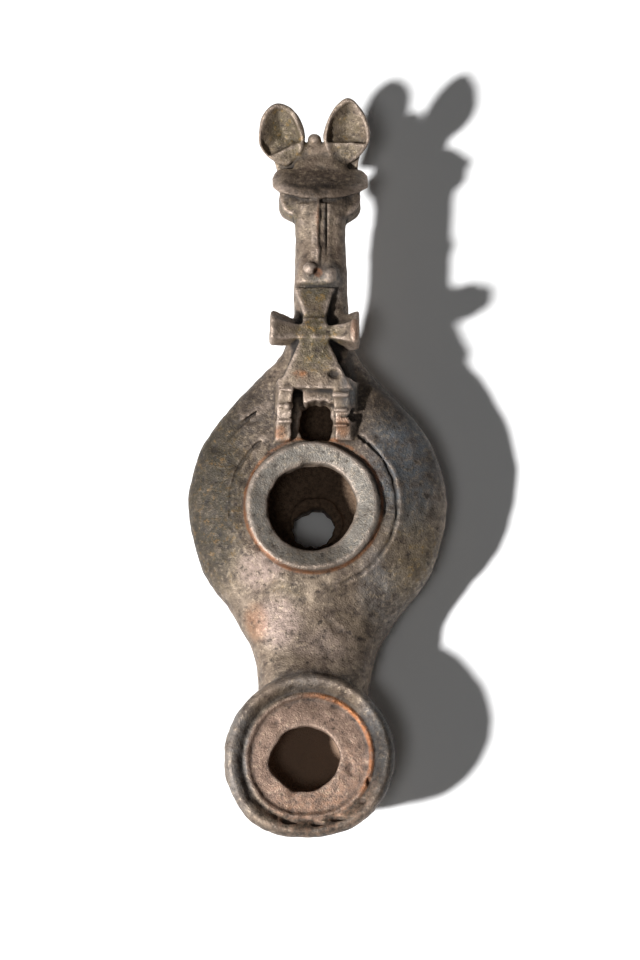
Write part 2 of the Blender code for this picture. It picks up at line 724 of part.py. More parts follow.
def openings(cutters):
    """Every hole through the wall, worn or broken as found."""
    over = CROSS_TOP + CROSS_ARM_RISE + CUTTER_OVERRUN
    socket_top = BULB_UNDERSIDE + WALL + SOCKET_HEIGHT
    wick_centre = Vector((SPOUT_LEAN, -SPOUT_REACH)) + WICK_SHIFT
    lamp_mouth = drum(
        "filler_hole", (FILLER_SHIFT, 0.0, BULB_TOP), FILLER_RADIUS,
        2 * (WALL + RING_RISE + BEAD_RISE + DISC_EDGE), cutters, segments=40,
    )
    wick = ragged_drum(
        "wick_hole", wick_centre, (WICK_RADIUS, WICK_RADIUS),
        NOZZLE_TOP - NOZZLE_DISH - 2 * WALL, over, WICK_WAVES, cutters, segments=28,
    )
    base = ragged_drum(
        "socket_hole", (0.0, 0.0), (SOCKET_RADIUS, SOCKET_RADIUS),
        -CUTTER_OVERRUN, socket_top + CUTTER_OVERRUN, SOCKET_WAVES, cutters,
    )
    broken = ragged_drum(
        "break", (0.0, BREAK_Y), (BREAK_HALF_WIDTH, BREAK_HALF_LENGTH),
        BULB_TOP - 5 * WALL, over, BREAK_WAVES, cutters,
    )
    pin_run = LUG_GAP + 2 * (LUG_THICKNESS + CUTTER_OVERRUN)
    pin = drum(
        "pin_hole", (0.0, PIN_Y, PIN_Z), PIN_RADIUS, pin_run, cutters, along="X", segments=16
    )
    nostril_y = MUZZLE_Y - 0.85 * NOSE_HALF_WIDTH
    nostril_z = HANDLE_TOP + 2 * NOSTRIL_RADIUS
    nostril = ball(
        "nostril", (NOSE_RIDGE_SHIFT, nostril_y, nostril_z), (NOSTRIL_RADIUS,) * 3, cutters, 10, 6
    )
    return [lamp_mouth, wick, base, broken, pin, nostril]


def combine(base, operand, operation):
    modifier = base.modifiers.new(f"{operation.lower()}_{operand.name}", "BOOLEAN")
    modifier.operation = operation
    modifier.object = operand
    modifier.solver = "EXACT"


def hide_guides(collection, frame):
    for obj in collection.objects:
        obj.hide_render = True
        obj.display_type = "WIRE"
        obj.parent = frame


def centre_on_ground(obj, frame):
    """Move the whole model so that the middle of its box is on the Z axis."""
    depsgraph = bpy.context.evaluated_depsgraph_get()
    corners = [obj.matrix_world @ Vector(c) for c in obj.evaluated_get(depsgraph).bound_box]
    low = [min(c[i] for c in corners) for i in range(3)]
    high = [max(c[i] for c in corners) for i in range(3)]
    frame.location = (-(low[0] + high[0]) / 2, -(low[1] + high[1]) / 2, -low[2])


def animal_head(collection):
    """The handle with its muzzle, nose, eyes, brow and ears joined on."""
    head = handle(collection)
    nose = ball(
        "nose", (NOSE_SHIFT, MUZZLE_Y, HANDLE_TOP - MUZZLE_RISE),
        (NOSE_HALF_WIDTH, 0.85 * NOSE_HALF_WIDTH, 0.7 * NOSE_HALF_WIDTH), collection,
    )
    forms = [muzzle(collection), nose_ridge(collection), nose, *poll(collection)]
    forms += [eye(side, collection) for side in (-1, 1)]
    forms.append(brow(collection))
    for side in EAR_SIDES:
        forms += [ear_stem(side, collection), ear(side, collection)]
    for form in forms:
        combine(head, form, "UNION")
    combine(head, flute_cutter(collection), "DIFFERENCE")
    return head


def cross_with_lugs(collection):
    stem, *arms = cross_forms(collection)
    for form in arms + [lug(side, collection) for side in (-1, 1)]:
        combine(stem, form, "UNION")
    return stem


def build():
    clear_scene()
    parts = new_collection("bronze_oil_lamp")
    guides = new_collection("lamp_guides")
    lamp = vessel(parts)
    forms = [foot(guides), filler_disc(guides), filler_ring(guides), nozzle(guides)]
    forms += [animal_head(guides), cross_with_lugs(guides)]
    for form in forms:
        combine(lamp, form, "UNION")
    for cutter in hollows(guides):
        combine(lamp, cutter, "DIFFERENCE")
    combine(lamp, socket(guides), "UNION")
    for cutter in openings(guides):
        combine(lamp, cutter, "DIFFERENCE")
    frame = bpy.data.objects.new("lamp_frame", None)
    parts.objects.link(frame)
    lamp.parent = frame
    hide_guides(guides, frame)
    lamp.data.materials.append(bronze_material())
    lamp.data.shade_smooth()
    lamp.data.set_sharp_from_angle(angle=math.radians(35))
    bpy.context.view_layer.update()
    centre_on_ground(lamp, frame)
    bpy.context.view_layer.update()
    return lamp


build()
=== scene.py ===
import functools
import json
import math

import bpy
import numpy as np
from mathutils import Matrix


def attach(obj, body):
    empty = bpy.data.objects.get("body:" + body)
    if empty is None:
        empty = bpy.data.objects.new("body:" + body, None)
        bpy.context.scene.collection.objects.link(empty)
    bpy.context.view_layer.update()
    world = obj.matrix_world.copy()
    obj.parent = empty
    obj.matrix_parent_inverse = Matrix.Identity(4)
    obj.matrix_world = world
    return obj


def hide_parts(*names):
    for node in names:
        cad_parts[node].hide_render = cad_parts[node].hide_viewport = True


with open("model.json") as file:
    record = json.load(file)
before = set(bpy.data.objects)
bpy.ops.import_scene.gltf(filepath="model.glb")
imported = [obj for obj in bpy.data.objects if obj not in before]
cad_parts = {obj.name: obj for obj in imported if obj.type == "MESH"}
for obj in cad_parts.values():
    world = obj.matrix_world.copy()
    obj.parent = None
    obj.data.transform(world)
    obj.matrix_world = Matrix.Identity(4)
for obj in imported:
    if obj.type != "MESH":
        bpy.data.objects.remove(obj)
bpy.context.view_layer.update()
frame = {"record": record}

import openvdb
from mathutils import Vector

# A late antique bronze hand lamp, cast in one piece and rebuilt as one block of metal.
# Distances to the surface, in millimetres, are kept in a block of small cells, negative
# inside the metal. Forms are joined to it and cut from it with the soft fillets of a
# casting, the skin is drawn round what is left, and the wear is read from the block's curves.
# Working frame: filler hole on the Z axis, spout towards -Y, ground at Z = 0.

MM = 0.001
# The frame's foot mount lies on the foot ring, this far from the filler hole's axis
FOOT_MOUNT_X = 12.7
foot_mount = next(m for m in frame["record"]["mounts"] if m["name"] == "foot_rest")
ORIGIN = Vector(foot_mount["pos_m"]) - Vector((FOOT_MOUNT_X * MM, 0.0, 0.0))

# Block of cells, in millimetres, and what is made of it
CELL = 0.3
BLOCK_LOW = (-28.5, -67.5, -1.5)
BLOCK_HIGH = (28.5, 84.6, 32.7)
FAR = 6.0
MARGIN = 4.0
TRIANGLES = 196000

# Vessel, in millimetres
BULB_HALF_WIDTH = 25.6
BULB_TOP = 22.0
BULB_UNDERSIDE = 2.6
WALL = 2.0
SHOULDER_LENGTH = 36.0
CHAMBER_END = 29.5
SPOUT_REACH = 48.7
SPOUT_LEAN = -1.3
BULB_SHIFT = 0.3
CROWN_FULLNESS = 2.5
BELLY_FULLNESS = 2.1
# Place along the spout (to -1) and the shoulder (to 1), share of the half width, and the heights
# of the crown, of the widest place and of the belly as shares of the body's height
VESSEL_SHAPE = (
    (-1.00, 0.39, 0.80, 0.46, 0.12),
    (-0.80, 0.41, 0.86, 0.46, 0.12),
    (-0.68, 0.425, 0.95, 0.47, 0.10),
    (-0.57, 0.47, 0.88, 0.49, 0.08),
    (-0.42, 0.63, 0.89, 0.52, 0.05),
    (-0.22, 0.885, 0.97, 0.57, 0.01),
    (0.06, 1.00, 1.00, 0.61, 0.00),
    (0.30, 0.925, 1.00, 0.66, 0.02),
    (0.52, 0.745, 1.02, 0.71, 0.11),
    (0.74, 0.445, 1.06, 0.77, 0.29),
    (0.89, 0.26, 1.10, 0.84, 0.47),
    (1.00, 0.21, 1.14, 0.87, 0.56),
)

# Foot and the broken pricket socket
FOOT_RADIUS = 14.2
FOOT_RIM_WIDTH = 2.6
FOOT_RECESS = 1.6
SOCKET_RADIUS = 4.1
SOCKET_WALL = 1.3
SOCKET_HEIGHT = 1.4
SOCKET_HOLE = (-0.4, -1.0)

# Filler hole
FILLER_RADIUS = 8.5
FILLER_CENTRE = (-0.8, 0.0)
RING_RADIUS = 13.2
RING_SLOPE = 0.9
RING_RISE = 1.5
DISC_RADIUS = 16.6
DISC_CENTRE = (-0.2, 0.9)
WIRE_CENTRE = (-0.5, 0.4)
WIRE_WAVER = 0.5
BEAD_RADIUS = 0.26
GROOVE_RADIUS = 16.35
GROOVE_WIDTH = 0.34
ARC_CENTRE = (-0.4, 0.9)
ARC_RADIUS = 21.3

# Wick-hole disc
NOZZLE_CENTRE = (SPOUT_LEAN, -SPOUT_REACH)
NOZZLE_RADIUS = 16.3
NOZZLE_GROOVE_RADIUS = 12.7
NOZZLE_TOP = 22.8
NOZZLE_DISH = 1.9
NOZZLE_BOWL_RADIUS = 15.2
NOZZLE_UNDERSIDE = 4.6
NOZZLE_TILT = math.radians(1.5)
BOWL_SHOULDER = 0.35
WICK_RADIUS = 6.7
WICK_RADII = (6.6, 6.35)
WICK_CENTRE = (-2.0, -48.9)

# Handle and the animal's head
HANDLE_HALF_WIDTH = 5.2
HANDLE_TOP = 26.8
HANDLE_UNDER = 14.2
HANDLE_SHIFT = 0.9
HANDLE_ROOT_Y = 29.0
HEAD_END = 73.4
MUZZLE_Y = 45.6
MUZZLE_FRONT_Y = 43.2
RIDGE_FRONT_Y = 46.6
RIDGE_END_Y = 62.5
FLUTE_PLACE = 2.15
FLUTE_HALF_WIDTH = 0.35
FLUTE_DEPTH = 0.6
EYE_Y = 60.0
EYE_REACH = 8.05
EYE_CORNER_Y = 59.8
EYE_TOP_Y = 58.6
EYE_END_Y = 63.4
BROW_Y = 61.0
BROW_HALF_WIDTH = 9.7
BROW_CREST = 27.7
BROW_DEPTH = 7.6
EAR_BASE_Y = 69.5
EAR_BASE_Z = 21.8
EAR_RISE = math.radians(24.0)
EAR_LENGTH = 12.6
EAR_HALF_WIDTH = 4.7
EAR_RIM = 0.9
EAR_THICKNESS = 3.1
EAR_CREST = 0.4
EAR_HOLLOW = 2.3
POLL_CENTRE = (-0.3, HEAD_END - 0.2, 21.6)
POLL_RADIUS = 1.5
POLL_HALF_LENGTH = 4.7

# Cross and hinge lugs
CROSS_Y = 34.6
CROSS_TOP = 28.0
CROSS_FOOT = 21.0
CROSS_SHIFT = -0.3
CROSS_SKEW = 0.33
CROSS_ARM_LENGTH = 8.5
CROSS_ARM_RISE = 2.5
CROSS_ARM_THICKNESS = 4.0
CROSS_WAIST = 2.2
CROSS_HEAD_LENGTH = 8.6
CROSS_HEAD_DROP = 1.8
CROSS_STEM_LENGTH = 12.0
CROSS_DRAFT = 1.3
LUG_THICKNESS = 3.0
LUG_FRONT_Y = 12.9
LUG_GAP = 8.4
LUG_TOP = 27.2
LUG_FRONT_TOP = 23.4
LUG_SHIFT = -0.3
PIN_RADIUS = 1.3
PIN_Y = 18.0
PIN_Z = 23.6
BREAK_CENTRE = (0.0, 16.9)
BREAK_RADII = (3.1, 3.7)
RIB_COUNT = 3
RIB_RADIUS = 0.5

# The photograph's view: what its middle shows and from how far, in millimetres
CAMERA_TARGET = (0.8, 7.45, 12.0)
CAMERA_ELEVATION = math.radians(78.0)
CAMERA_DISTANCE = 530.0
CAMERA_LENS = 100.0
FLOOR_REACH = 6.0


def smooth_rows(rows, places):
    """Values of a table at the given places, on smooth curves that never overshoot."""
    table = np.array(rows, dtype=float)
    knots, values = table[:, 0], table[:, 1:]
    steps = np.diff(knots)[:, None]
    slopes = np.diff(values, axis=0) / steps
    same_way = slopes[:-1] * slopes[1:] > 0
    safe_sum = np.where(same_way, slopes[:-1] + slopes[1:], 1.0)
    inner = np.where(same_way, 2 * slopes[:-1] * slopes[1:] / safe_sum, 0.0)
    tangents = np.vstack([slopes[:1], inner, slopes[-1:]])
    places = np.clip(np.asarray(places, dtype=float).ravel(), knots[0], knots[-1])
    span = np.clip(np.searchsorted(knots, places, side="right") - 1, 0, len(knots) - 2)
    width = steps[span]
    t = (places - knots[span])[:, None] / width
    rise = values[span + 1] - values[span]
    start, end = tangents[span] * width, tangents[span + 1] * width
    bend = (3 * rise - 2 * start - end) * t**2 + (start + end - 2 * rise) * t**3
    return values[span] + start * t + bend


def soft_step(value, low, high):
    """0 below the first limit, 1 above the second, and a smooth rise between."""
    share = np.clip((value - low) / (high - low), 0.0, 1.0)
    return share * share * (3.0 - 2.0 * share)


def soft_min(a, b, fillet):
    """The nearer of two distances, with a fillet where they meet."""
    if fillet <= 0.0:
        return np.minimum(a, b)
    share = np.clip(0.5 + 0.5 * (b - a) / fillet, 0.0, 1.0)
    return b + (a - b) * share - fillet * share * (1.0 - share)


def shared(*fields):
    """The greatest of several fields: of distances, the distance to what their forms share."""
    return functools.reduce(np.maximum, fields)


class Casting:
    """The block of distances that the lamp is worked out of."""

    def __init__(self):
        self.axes = [
            np.arange(low, high, CELL, dtype=np.float32)
            for low, high in zip(BLOCK_LOW, BLOCK_HIGH)
        ]
        self.metal = np.full([len(a) for a in self.axes], FAR, np.float32)

    def near(self, low, high):
        """The part of the block round a form, and its places along the three axes."""
        cut, places = [], []
        for i, axis in enumerate(self.axes):
            first = int(np.searchsorted(axis, low[i] - MARGIN))
            last = int(np.searchsorted(axis, high[i] + MARGIN))
            cut.append(slice(first, last))
            shape = [1, 1, 1]
            shape[i] = last - first
            places.append(axis[first:last].reshape(shape))
        return tuple(cut), places

    def join(self, low, high, form, fillet):
        """Add a form that lies between two corners, with a fillet round it."""
        cut, places = self.near(low, high)
        self.metal[cut] = soft_min(self.metal[cut], form(*places), fillet)

    def carve(self, low, high, form, fillet):
        """Cut a form away in the same manner."""
        cut, places = self.near(low, high)
        self.metal[cut] = -soft_min(-self.metal[cut], form(*places), fillet)

    def swell(self, cell, seed):
        """Even random relief, about 1 high, whose hills are a few cells wide."""
        weights = []
        for axis in self.axes:
            place = (axis - axis[0]) / cell
            base = np.floor(place).astype(int)
            s = (place - base).astype(np.float32)
            rows = np.zeros((len(axis), base[-1] + 4), np.float32)
            curve = (
                (1 - s) ** 3 / 6,
                (3 * s**3 - 6 * s**2 + 4) / 6,
                (-3 * s**3 + 3 * s**2 + 3 * s + 1) / 6,
                s**3 / 6,
            )
            for k, weight in enumerate(curve):
                rows[np.arange(len(axis)), base + k] = weight
            weights.append(rows)
        rng = np.random.default_rng(seed)
        hills = rng.standard_normal([w.shape[1] for w in weights]).astype(np.float32)
        return self.spread(hills, weights) * np.float32(3.0)

    def blurred(self, field, reach):
        """A field smoothed over a ball about one reach wide."""
        weights = []
        for axis in self.axes:
            rows = np.exp(-0.5 * ((axis[:, None] - axis[None, :]) / reach) ** 2)
            weights.append((rows / rows.sum(axis=1, keepdims=True)).astype(np.float32))
        return self.spread(field, weights)

    def spread(self, field, weights):
        along_x, along_y, along_z = weights
        field = field @ along_z.T
        field = np.matmul(along_y, field)
        shape = (along_x.shape[0], *field.shape[1:])
        return (along_x @ field.reshape(field.shape[0], -1)).reshape(shape)

    def sample(self, field, points):
        """Values of a field at points, read between the cells."""
        place = (points - [axis[0] for axis in self.axes]) / CELL
        base = np.floor(place).astype(int)
        base = np.clip(base, 0, np.array(field.shape) - 2)
        share = place - base
        total = np.zeros(len(points))
        for corner in np.ndindex(2, 2, 2):
            weight = np.prod(np.where(corner, share, 1.0 - share), axis=1)
            i, j, k = (base + corner).T
            total += weight * field[i, j, k]
        return total


def rounded_bar(across, lift, half_width, up, down, crown, belly):
    """Distance to a bar whose section is round to squarish, by its fullness above and below."""
    above = lift > 0
    reach = np.where(above, up, down)
    power = np.where(above, crown, belly).astype(np.float32)
    side = np.maximum(np.abs(across) / half_width, 1e-3)
    rise = np.maximum(np.abs(lift) / reach, 1e-3)
    side_power, rise_power = side**power, rise**power
    size = (side_power + rise_power) ** (1 / power)
    steep = np.hypot(side_power / (side * half_width), rise_power / (rise * reach))
    slope = size ** (1 - power) * steep
    return (size - 1.0) / np.maximum(slope, 0.4 / np.maximum(half_width, reach))


def faceted_bar(along, u, v, corners, start, end):
    """Distance to a bar with flat facets. Its corners run anticlockwise in (u, v)."""
    distance = np.maximum(start - along, along - end)
    for (u0, v0), (u1, v1) in zip(corners, corners[1:] + corners[:1]):
        du, dv = u1 - u0, v1 - v0
        facet = ((u - u0) * dv - (v - v0) * du) / np.hypot(du, dv)
        distance = np.maximum(distance, facet)
    return distance


def turned(radius, height, profile):
    """Distance to a turned form whose closed profile is (radius, height) points."""
    nearest, inside = np.inf, False
    for (r0, z0), (r1, z1) in zip(profile, profile[1:] + profile[:1]):
        dr, dz = r1 - r0, z1 - z0
        to_r, to_z = radius - r0, height - z0
        share = np.clip((to_r * dr + to_z * dz) / (dr * dr + dz * dz), 0.0, 1.0)
        nearest = np.minimum(nearest, (to_r - dr * share) ** 2 + (to_z - dz * share) ** 2)
        crosses = (z0 > height) != (z1 > height)
        if dz != 0.0:
            inside = inside ^ (crosses & (to_r < dr * to_z / dz))
    return np.where(inside, -1.0, 1.0) * np.sqrt(nearest)


def ball(centre, radii):
    """A ball with a radius of its own along each axis, after the corners of a box round it."""
    def form(x, y, z):
        steps = [(value - c, r) for value, c, r in zip((x, y, z), centre, radii)]
        near = np.sqrt(sum((step / r) ** 2 for step, r in steps))
        far = np.sqrt(sum((step / r**2) ** 2 for step, r in steps))
        return near * (near - 1.0) / np.maximum(far, 1e-3)
    low = [c - r for c, r in zip(centre, radii)]
    return low, [c + r for c, r in zip(centre, radii)], form


def ragged(x, y, centre, radii, waves, corners=()):
    """Distance to an upright hole with an uneven outline and a few blunt corners."""
    dx, dy = x - centre[0], y - centre[1]
    angle = np.arctan2(dy / radii[1], dx / radii[0])
    wobble = 1.0 + sum(size * np.sin(count * angle + phase) for count, size, phase in waves)
    for degrees, size, width in corners:
        away = (np.degrees(angle) - degrees + 180.0) % 360.0 - 180.0
        wobble = wobble + size * np.exp(-((away / width) ** 2))
    reach = np.hypot(dx / radii[0], dy / radii[1]) / wobble
    return (reach - 1.0) * min(radii)


def columns(rows, places, shape):
    """The columns of a table at the given places, each in a shape that fits the block."""
    return [c.reshape(shape).astype(np.float32) for c in smooth_rows(rows, places).T]


def pear(x, y, z):
    """Distance to the outside of the oil vessel with its spout."""
    flat = y.ravel()
    place = np.where(flat < 0, flat / SPOUT_REACH, flat / SHOULDER_LENGTH)
    width, crown, widest, belly = columns(VESSEL_SHAPE, place, y.shape)
    height = BULB_TOP - BULB_UNDERSIDE
    towards_spout = np.clip(-place, 0.0, 1.0).reshape(y.shape) ** 2
    lean = (BULB_SHIFT + (SPOUT_LEAN - BULB_SHIFT) * towards_spout).astype(np.float32)
    middle = BULB_UNDERSIDE + widest * height
    up = BULB_UNDERSIDE + crown * height - middle
    down = middle - BULB_UNDERSIDE - belly * height
    distance = rounded_bar(
        x - lean, z - middle, width * BULB_HALF_WIDTH, up, down, CROWN_FULLNESS, BELLY_FULLNESS
    )
    # The body narrows along Y, which makes its sides nearer than its sections say
    growth = np.clip(np.gradient(distance, CELL, axis=1), -2.0, 2.0)
    distance = distance / np.sqrt(1.0 + growth**2)
    return shared(distance, -SPOUT_REACH - y, y - SHOULDER_LENGTH)


def bowl_curve(radius, bottom_z, steps=9):
    """The round side and bottom of the nozzle's bowl, from its shoulder down to the axis."""
    shoulder_z = NOZZLE_TOP - BOWL_SHOULDER * (NOZZLE_TOP - NOZZLE_UNDERSIDE)
    points = []
    for i in range(steps + 1):
        angle = math.pi / 2 * i / steps
        across = radius * max(0.0, math.cos(angle)) ** 0.7 if i < steps else 0.0
        points.append((across, shoulder_z - (shoulder_z - bottom_z) * math.sin(angle) ** 1.1))
    return points


def nozzle(x, y, z):
    """The round bowl at the end of the spout, with its raised rim and shallow dish."""
    dy, dz = y - NOZZLE_CENTRE[1], z - NOZZLE_TOP
    along = dy * math.cos(NOZZLE_TILT) + dz * math.sin(NOZZLE_TILT)
    height = NOZZLE_TOP - dy * math.sin(NOZZLE_TILT) + dz * math.cos(NOZZLE_TILT)
    dx = x - NOZZLE_CENTRE[0]
    angle = np.arctan2(dy, dx)
    out_of_round = 1.0 + 0.008 * np.sin(2 * angle + 0.6) + 0.006 * np.sin(3 * angle + 2.0)
    flattened = 0.055 * np.exp(-(((angle + math.pi / 2) / 0.55) ** 2))
    radius = np.hypot(dx, along) / (out_of_round - flattened)
    dish = NOZZLE_TOP - NOZZLE_DISH
    groove = NOZZLE_GROOVE_RADIUS
    profile = [
        (0.0, dish + 0.2), (WICK_RADIUS + 1.0, dish + 0.1), (groove - 1.6, dish - 0.05),
        (groove - 1.1, dish + 0.5), (groove - 0.7, dish + 0.65), (groove - 0.35, dish + 0.5),
        (groove, dish + 0.25), (groove + 0.5, dish + 0.75), (groove + 1.1, NOZZLE_TOP - 0.5),
        (groove + 1.7, NOZZLE_TOP - 0.12), (groove + 2.3, NOZZLE_TOP),
        (NOZZLE_RADIUS - 0.8, NOZZLE_TOP - 0.3), (NOZZLE_RADIUS - 0.3, NOZZLE_TOP - 1.0),
        (NOZZLE_RADIUS, NOZZLE_TOP - 2.1), (NOZZLE_RADIUS - 0.2, NOZZLE_TOP - 3.1),
        (NOZZLE_RADIUS - 0.8, NOZZLE_TOP - 4.0),
    ]
    return turned(radius, height, profile + bowl_curve(NOZZLE_BOWL_RADIUS, NOZZLE_UNDERSIDE))


def foot(x, y, z):
    """The foot ring, with a recessed floor inside it."""
    rim_inner = FOOT_RADIUS - FOOT_RIM_WIDTH
    shoulder = BULB_UNDERSIDE + WALL
    profile = [
        (0.0, shoulder), (FOOT_RADIUS - 0.6, shoulder), (FOOT_RADIUS - 0.2, 2.4),
        (FOOT_RADIUS, 0.8), (FOOT_RADIUS - 0.4, 0.0), (rim_inner, 0.0),
        (rim_inner - 0.6, FOOT_RECESS), (0.0, FOOT_RECESS),
    ]
    return turned(np.hypot(x, y), z, profile)


def filler_disc(x, y, z):
    """The flat collar round the filler hole, which stands a little proud of the shoulder."""
    deck = BULB_TOP - 0.5
    profile = [
        (0.0, deck), (DISC_RADIUS - 1.4, deck), (DISC_RADIUS + 0.2, deck - 0.2),
        (DISC_RADIUS + 1.2, deck - 1.1), (DISC_RADIUS + 2.2, deck - 2.4), (0.0, deck - 2 * WALL),
    ]
    return turned(np.hypot(x - DISC_CENTRE[0], y - DISC_CENTRE[1]), z, profile)


def filler_ring(x, y, z):
    """The raised ring, whose top slopes down to the filler hole."""
    crest = BULB_TOP + RING_RISE
    inner = crest - RING_SLOPE
    profile = [
        (0.0, inner - 0.2), (FILLER_RADIUS + 0.1, inner - 0.1), (FILLER_RADIUS + 0.7, inner + 0.15),
        (RING_RADIUS - 1.5, crest - 0.1), (RING_RADIUS - 0.9, crest),
        (RING_RADIUS - 0.5, crest - 0.25), (RING_RADIUS - 0.15, crest - 0.8),
        (RING_RADIUS, BULB_TOP - 0.4), (0.0, BULB_TOP - WALL),
    ]
    dx, dy = x - FILLER_CENTRE[0], y - FILLER_CENTRE[1]
    angle = np.arctan2(dy, dx)
    out_of_round = 1.0 + 0.008 * np.sin(2 * angle + 1.1) + 0.006 * np.sin(5 * angle + 0.4)
    return turned(np.hypot(dx, dy) / out_of_round, z, profile)


def handle(x, y, z):
    """The handle, which swells and drops along its length."""
    # Place, and what it adds there to the half width, the top and the underside
    half, top, bottom = columns((
        (HANDLE_ROOT_Y, 1.6, -3.6, -2.5), (CROSS_Y, 0.8, -1.6, -0.8), (40.0, 0.3, -1.4, 0.0),
        (47.6, -0.1, -1.1, 0.0), (53.5, -0.3, -0.4, 0.4), (58.0, 0.0, 0.0, 1.2),
        (BROW_Y, 1.3, -0.2, 2.2), (64.6, 1.3, -2.6, 3.0), (70.0, 0.3, -4.0, 4.0),
        (HEAD_END, -1.0, -4.6, 5.2),
    ), y, y.shape)
    half, top, bottom = half + HANDLE_HALF_WIDTH, top + HANDLE_TOP, bottom + HANDLE_UNDER
    middle, reach = (top + bottom) / 2, (top - bottom) / 2
    distance = rounded_bar(x - HANDLE_SHIFT, z - middle, half, reach, reach, 4.0, 3.2)
    return shared(distance, HANDLE_ROOT_Y - y, y - HEAD_END)


def muzzle(x, y, z):
    """The long nose, a low round bar on the handle."""
    top = HANDLE_TOP + 0.2
    half, crest = columns((
        (MUZZLE_FRONT_Y, 4.0, top - 1.3), (44.3, 4.5, top - 0.1), (46.6, 4.1, top),
        (50.0, 3.3, top), (54.0, 3.1, top), (EYE_Y, 3.9, top + 0.3),
    ), y, y.shape)
    distance = rounded_bar(x - 0.3, z - crest + 2.6, half, 2.6, 2.6, 3.0, 3.0)
    return shared(distance, MUZZLE_FRONT_Y - y, y - EYE_Y)


def nose_ridge(x, y, z):
    """The sharp ridge along the nose, with a lower step on its right."""
    crest, half = columns((
        (RIDGE_FRONT_Y, HANDLE_TOP + 0.5, 0.9), (50.0, HANDLE_TOP + 0.95, 1.0),
        (55.0, HANDLE_TOP + 1.15, 1.0), (RIDGE_END_Y, HANDLE_TOP + 0.55, 1.15),
    ), y, y.shape)
    base = HANDLE_TOP - 1.0
    ridge = faceted_bar(y, x, z, [
        (0.5 - 2.6 * half, base), (1.1, base), (1.0, crest - 0.75), (0.5, crest),
        (0.5 - 1.5 * half, crest - 0.4),
    ], RIDGE_FRONT_Y, RIDGE_END_Y)
    step = faceted_bar(y, x, z, [
        (0.0, base), (0.5 + 1.7 * half, base), (0.5 + 1.5 * half, crest - 0.8), (0.0, crest - 0.7),
    ], RIDGE_FRONT_Y, RIDGE_END_Y)
    return np.minimum(ridge, step)


def flute(x, y, z):
    """The groove on the right of the nose ridge."""
    surface = HANDLE_TOP + 0.45
    left, right = FLUTE_PLACE - FLUTE_HALF_WIDTH, FLUTE_PLACE + FLUTE_HALF_WIDTH
    corners = [
        (FLUTE_PLACE, surface - FLUTE_DEPTH), (right, surface + 0.2), (right, surface + 1.6),
        (left, surface + 1.6), (left, surface + 0.2),
    ]
    return faceted_bar(y, x, z, corners, RIDGE_FRONT_Y + 2.0, BROW_Y + 0.2)


def eye(side):
    """One eye: a lump under the brow, with a flat top, a slanting front and a rounded cheek."""
    def form(x, y, z):
        out = side * (x - HANDLE_SHIFT)
        outer = out - EYE_REACH + 0.05 * (z - 24.0)
        slant = 0.5 * (out - EYE_REACH) - 0.86 * (y - EYE_CORNER_Y)
        cheek = -soft_min(-outer, -slant, 1.6)
        top = (z - HANDLE_TOP + 1.1 + 0.22 * (out - 4.5)) / 1.02
        front = (z - HANDLE_TOP + 1.3 - 0.6 * (y - EYE_TOP_Y)) / 1.17
        return shared(cheek, top, front, y - EYE_END_Y, 19.0 - z, 1.0 - out)
    return form


def brow(x, y, z):
    """The overhanging brow, whose crest is in front and bows towards the nose."""
    share = np.clip((x - HANDLE_SHIFT) / BROW_HALF_WIDTH, -1.0, 1.0)
    bow = np.abs(share) ** 2.4
    taper = np.sqrt(np.maximum(0.04, 1.0 - np.abs(share) ** 4.0))
    front = BROW_Y + 3.2 * bow
    crest = BROW_CREST - 3.4 * bow
    depth = BROW_DEPTH * (0.2 + 0.8 * taper)
    thickness = 3.2 * taper + 0.8
    rear = front + depth
    corners = [
        (front, crest - 0.6), (front + 0.3 * depth, crest - thickness),
        (rear, crest - 0.64 * depth - 0.6 * thickness), (rear, crest - 0.64 * depth),
        (front + 0.22 * depth, crest - 0.1), (front, crest),
    ]
    return faceted_bar(x - HANDLE_SHIFT, y, z, corners, -BROW_HALF_WIDTH, BROW_HALF_WIDTH)


def ear_frame(x, y, z, side):
    """Places across, along and out of an ear's face, and the ear's length.

    The right ear is a little longer and more upright than the left one.
    """
    lean, length, root_x = (0.07, EAR_LENGTH + 1.0, 5.5) if side > 0 else (-0.19, EAR_LENGTH, -5.6)
    along = Vector((lean, math.cos(EAR_RISE), math.sin(EAR_RISE))).normalized()
    across = Vector((1.0, -lean, 0.0)).normalized()
    heart = Vector((root_x, EAR_BASE_Y, EAR_BASE_Z)) + along * (0.42 * length)
    dx, dy, dz = x - heart.x, y - heart.y, z - heart.z
    ways = (across, along, across.cross(along))
    a, b, c = (dx * way.x + dy * way.y + dz * way.z for way in ways)
    return a, b, c, length


def leaf(a, b, length, inset, side):
    """Distance to an ear's outline, made smaller by an inset. The right one is more pointed."""
    point = 1.6 if side > 0 else 1.9
    above = b > 0
    reach = np.where(above, 0.58 * length, 0.42 * length) - inset
    half = EAR_HALF_WIDTH - inset
    power = np.where(above, point, 1.55)
    share, rise = np.maximum(np.abs(a) / half, 1e-3), np.maximum(np.abs(b) / reach, 1e-3)
    size = (share**power + rise**power) ** (1 / power)
    steep = np.hypot(share**power / (share * half), rise**power / (rise * reach))
    slope = size ** (1 - power) * steep
    return (size - 1.0) / np.maximum(slope, 0.05)


def ear(side):
    """A leaf-shaped ear that leans back."""
    def form(x, y, z):
        a, b, c, length = ear_frame(x, y, z, side)
        outline = leaf(a, b, length, 0.0, side)
        inward = np.clip(-outline / EAR_HALF_WIDTH, 0.0, 1.0)
        under = -EAR_THICKNESS * (0.3 + 0.7 * np.sqrt(inward * (2.0 - inward)))
        crest = EAR_CREST * np.exp(-(((side * a + EAR_HALF_WIDTH - 1.3) / 0.7) ** 2))
        slab = np.maximum(c - crest, (under - c) * 0.85)
        return -soft_min(-outline, -slab, 0.35)
    return form


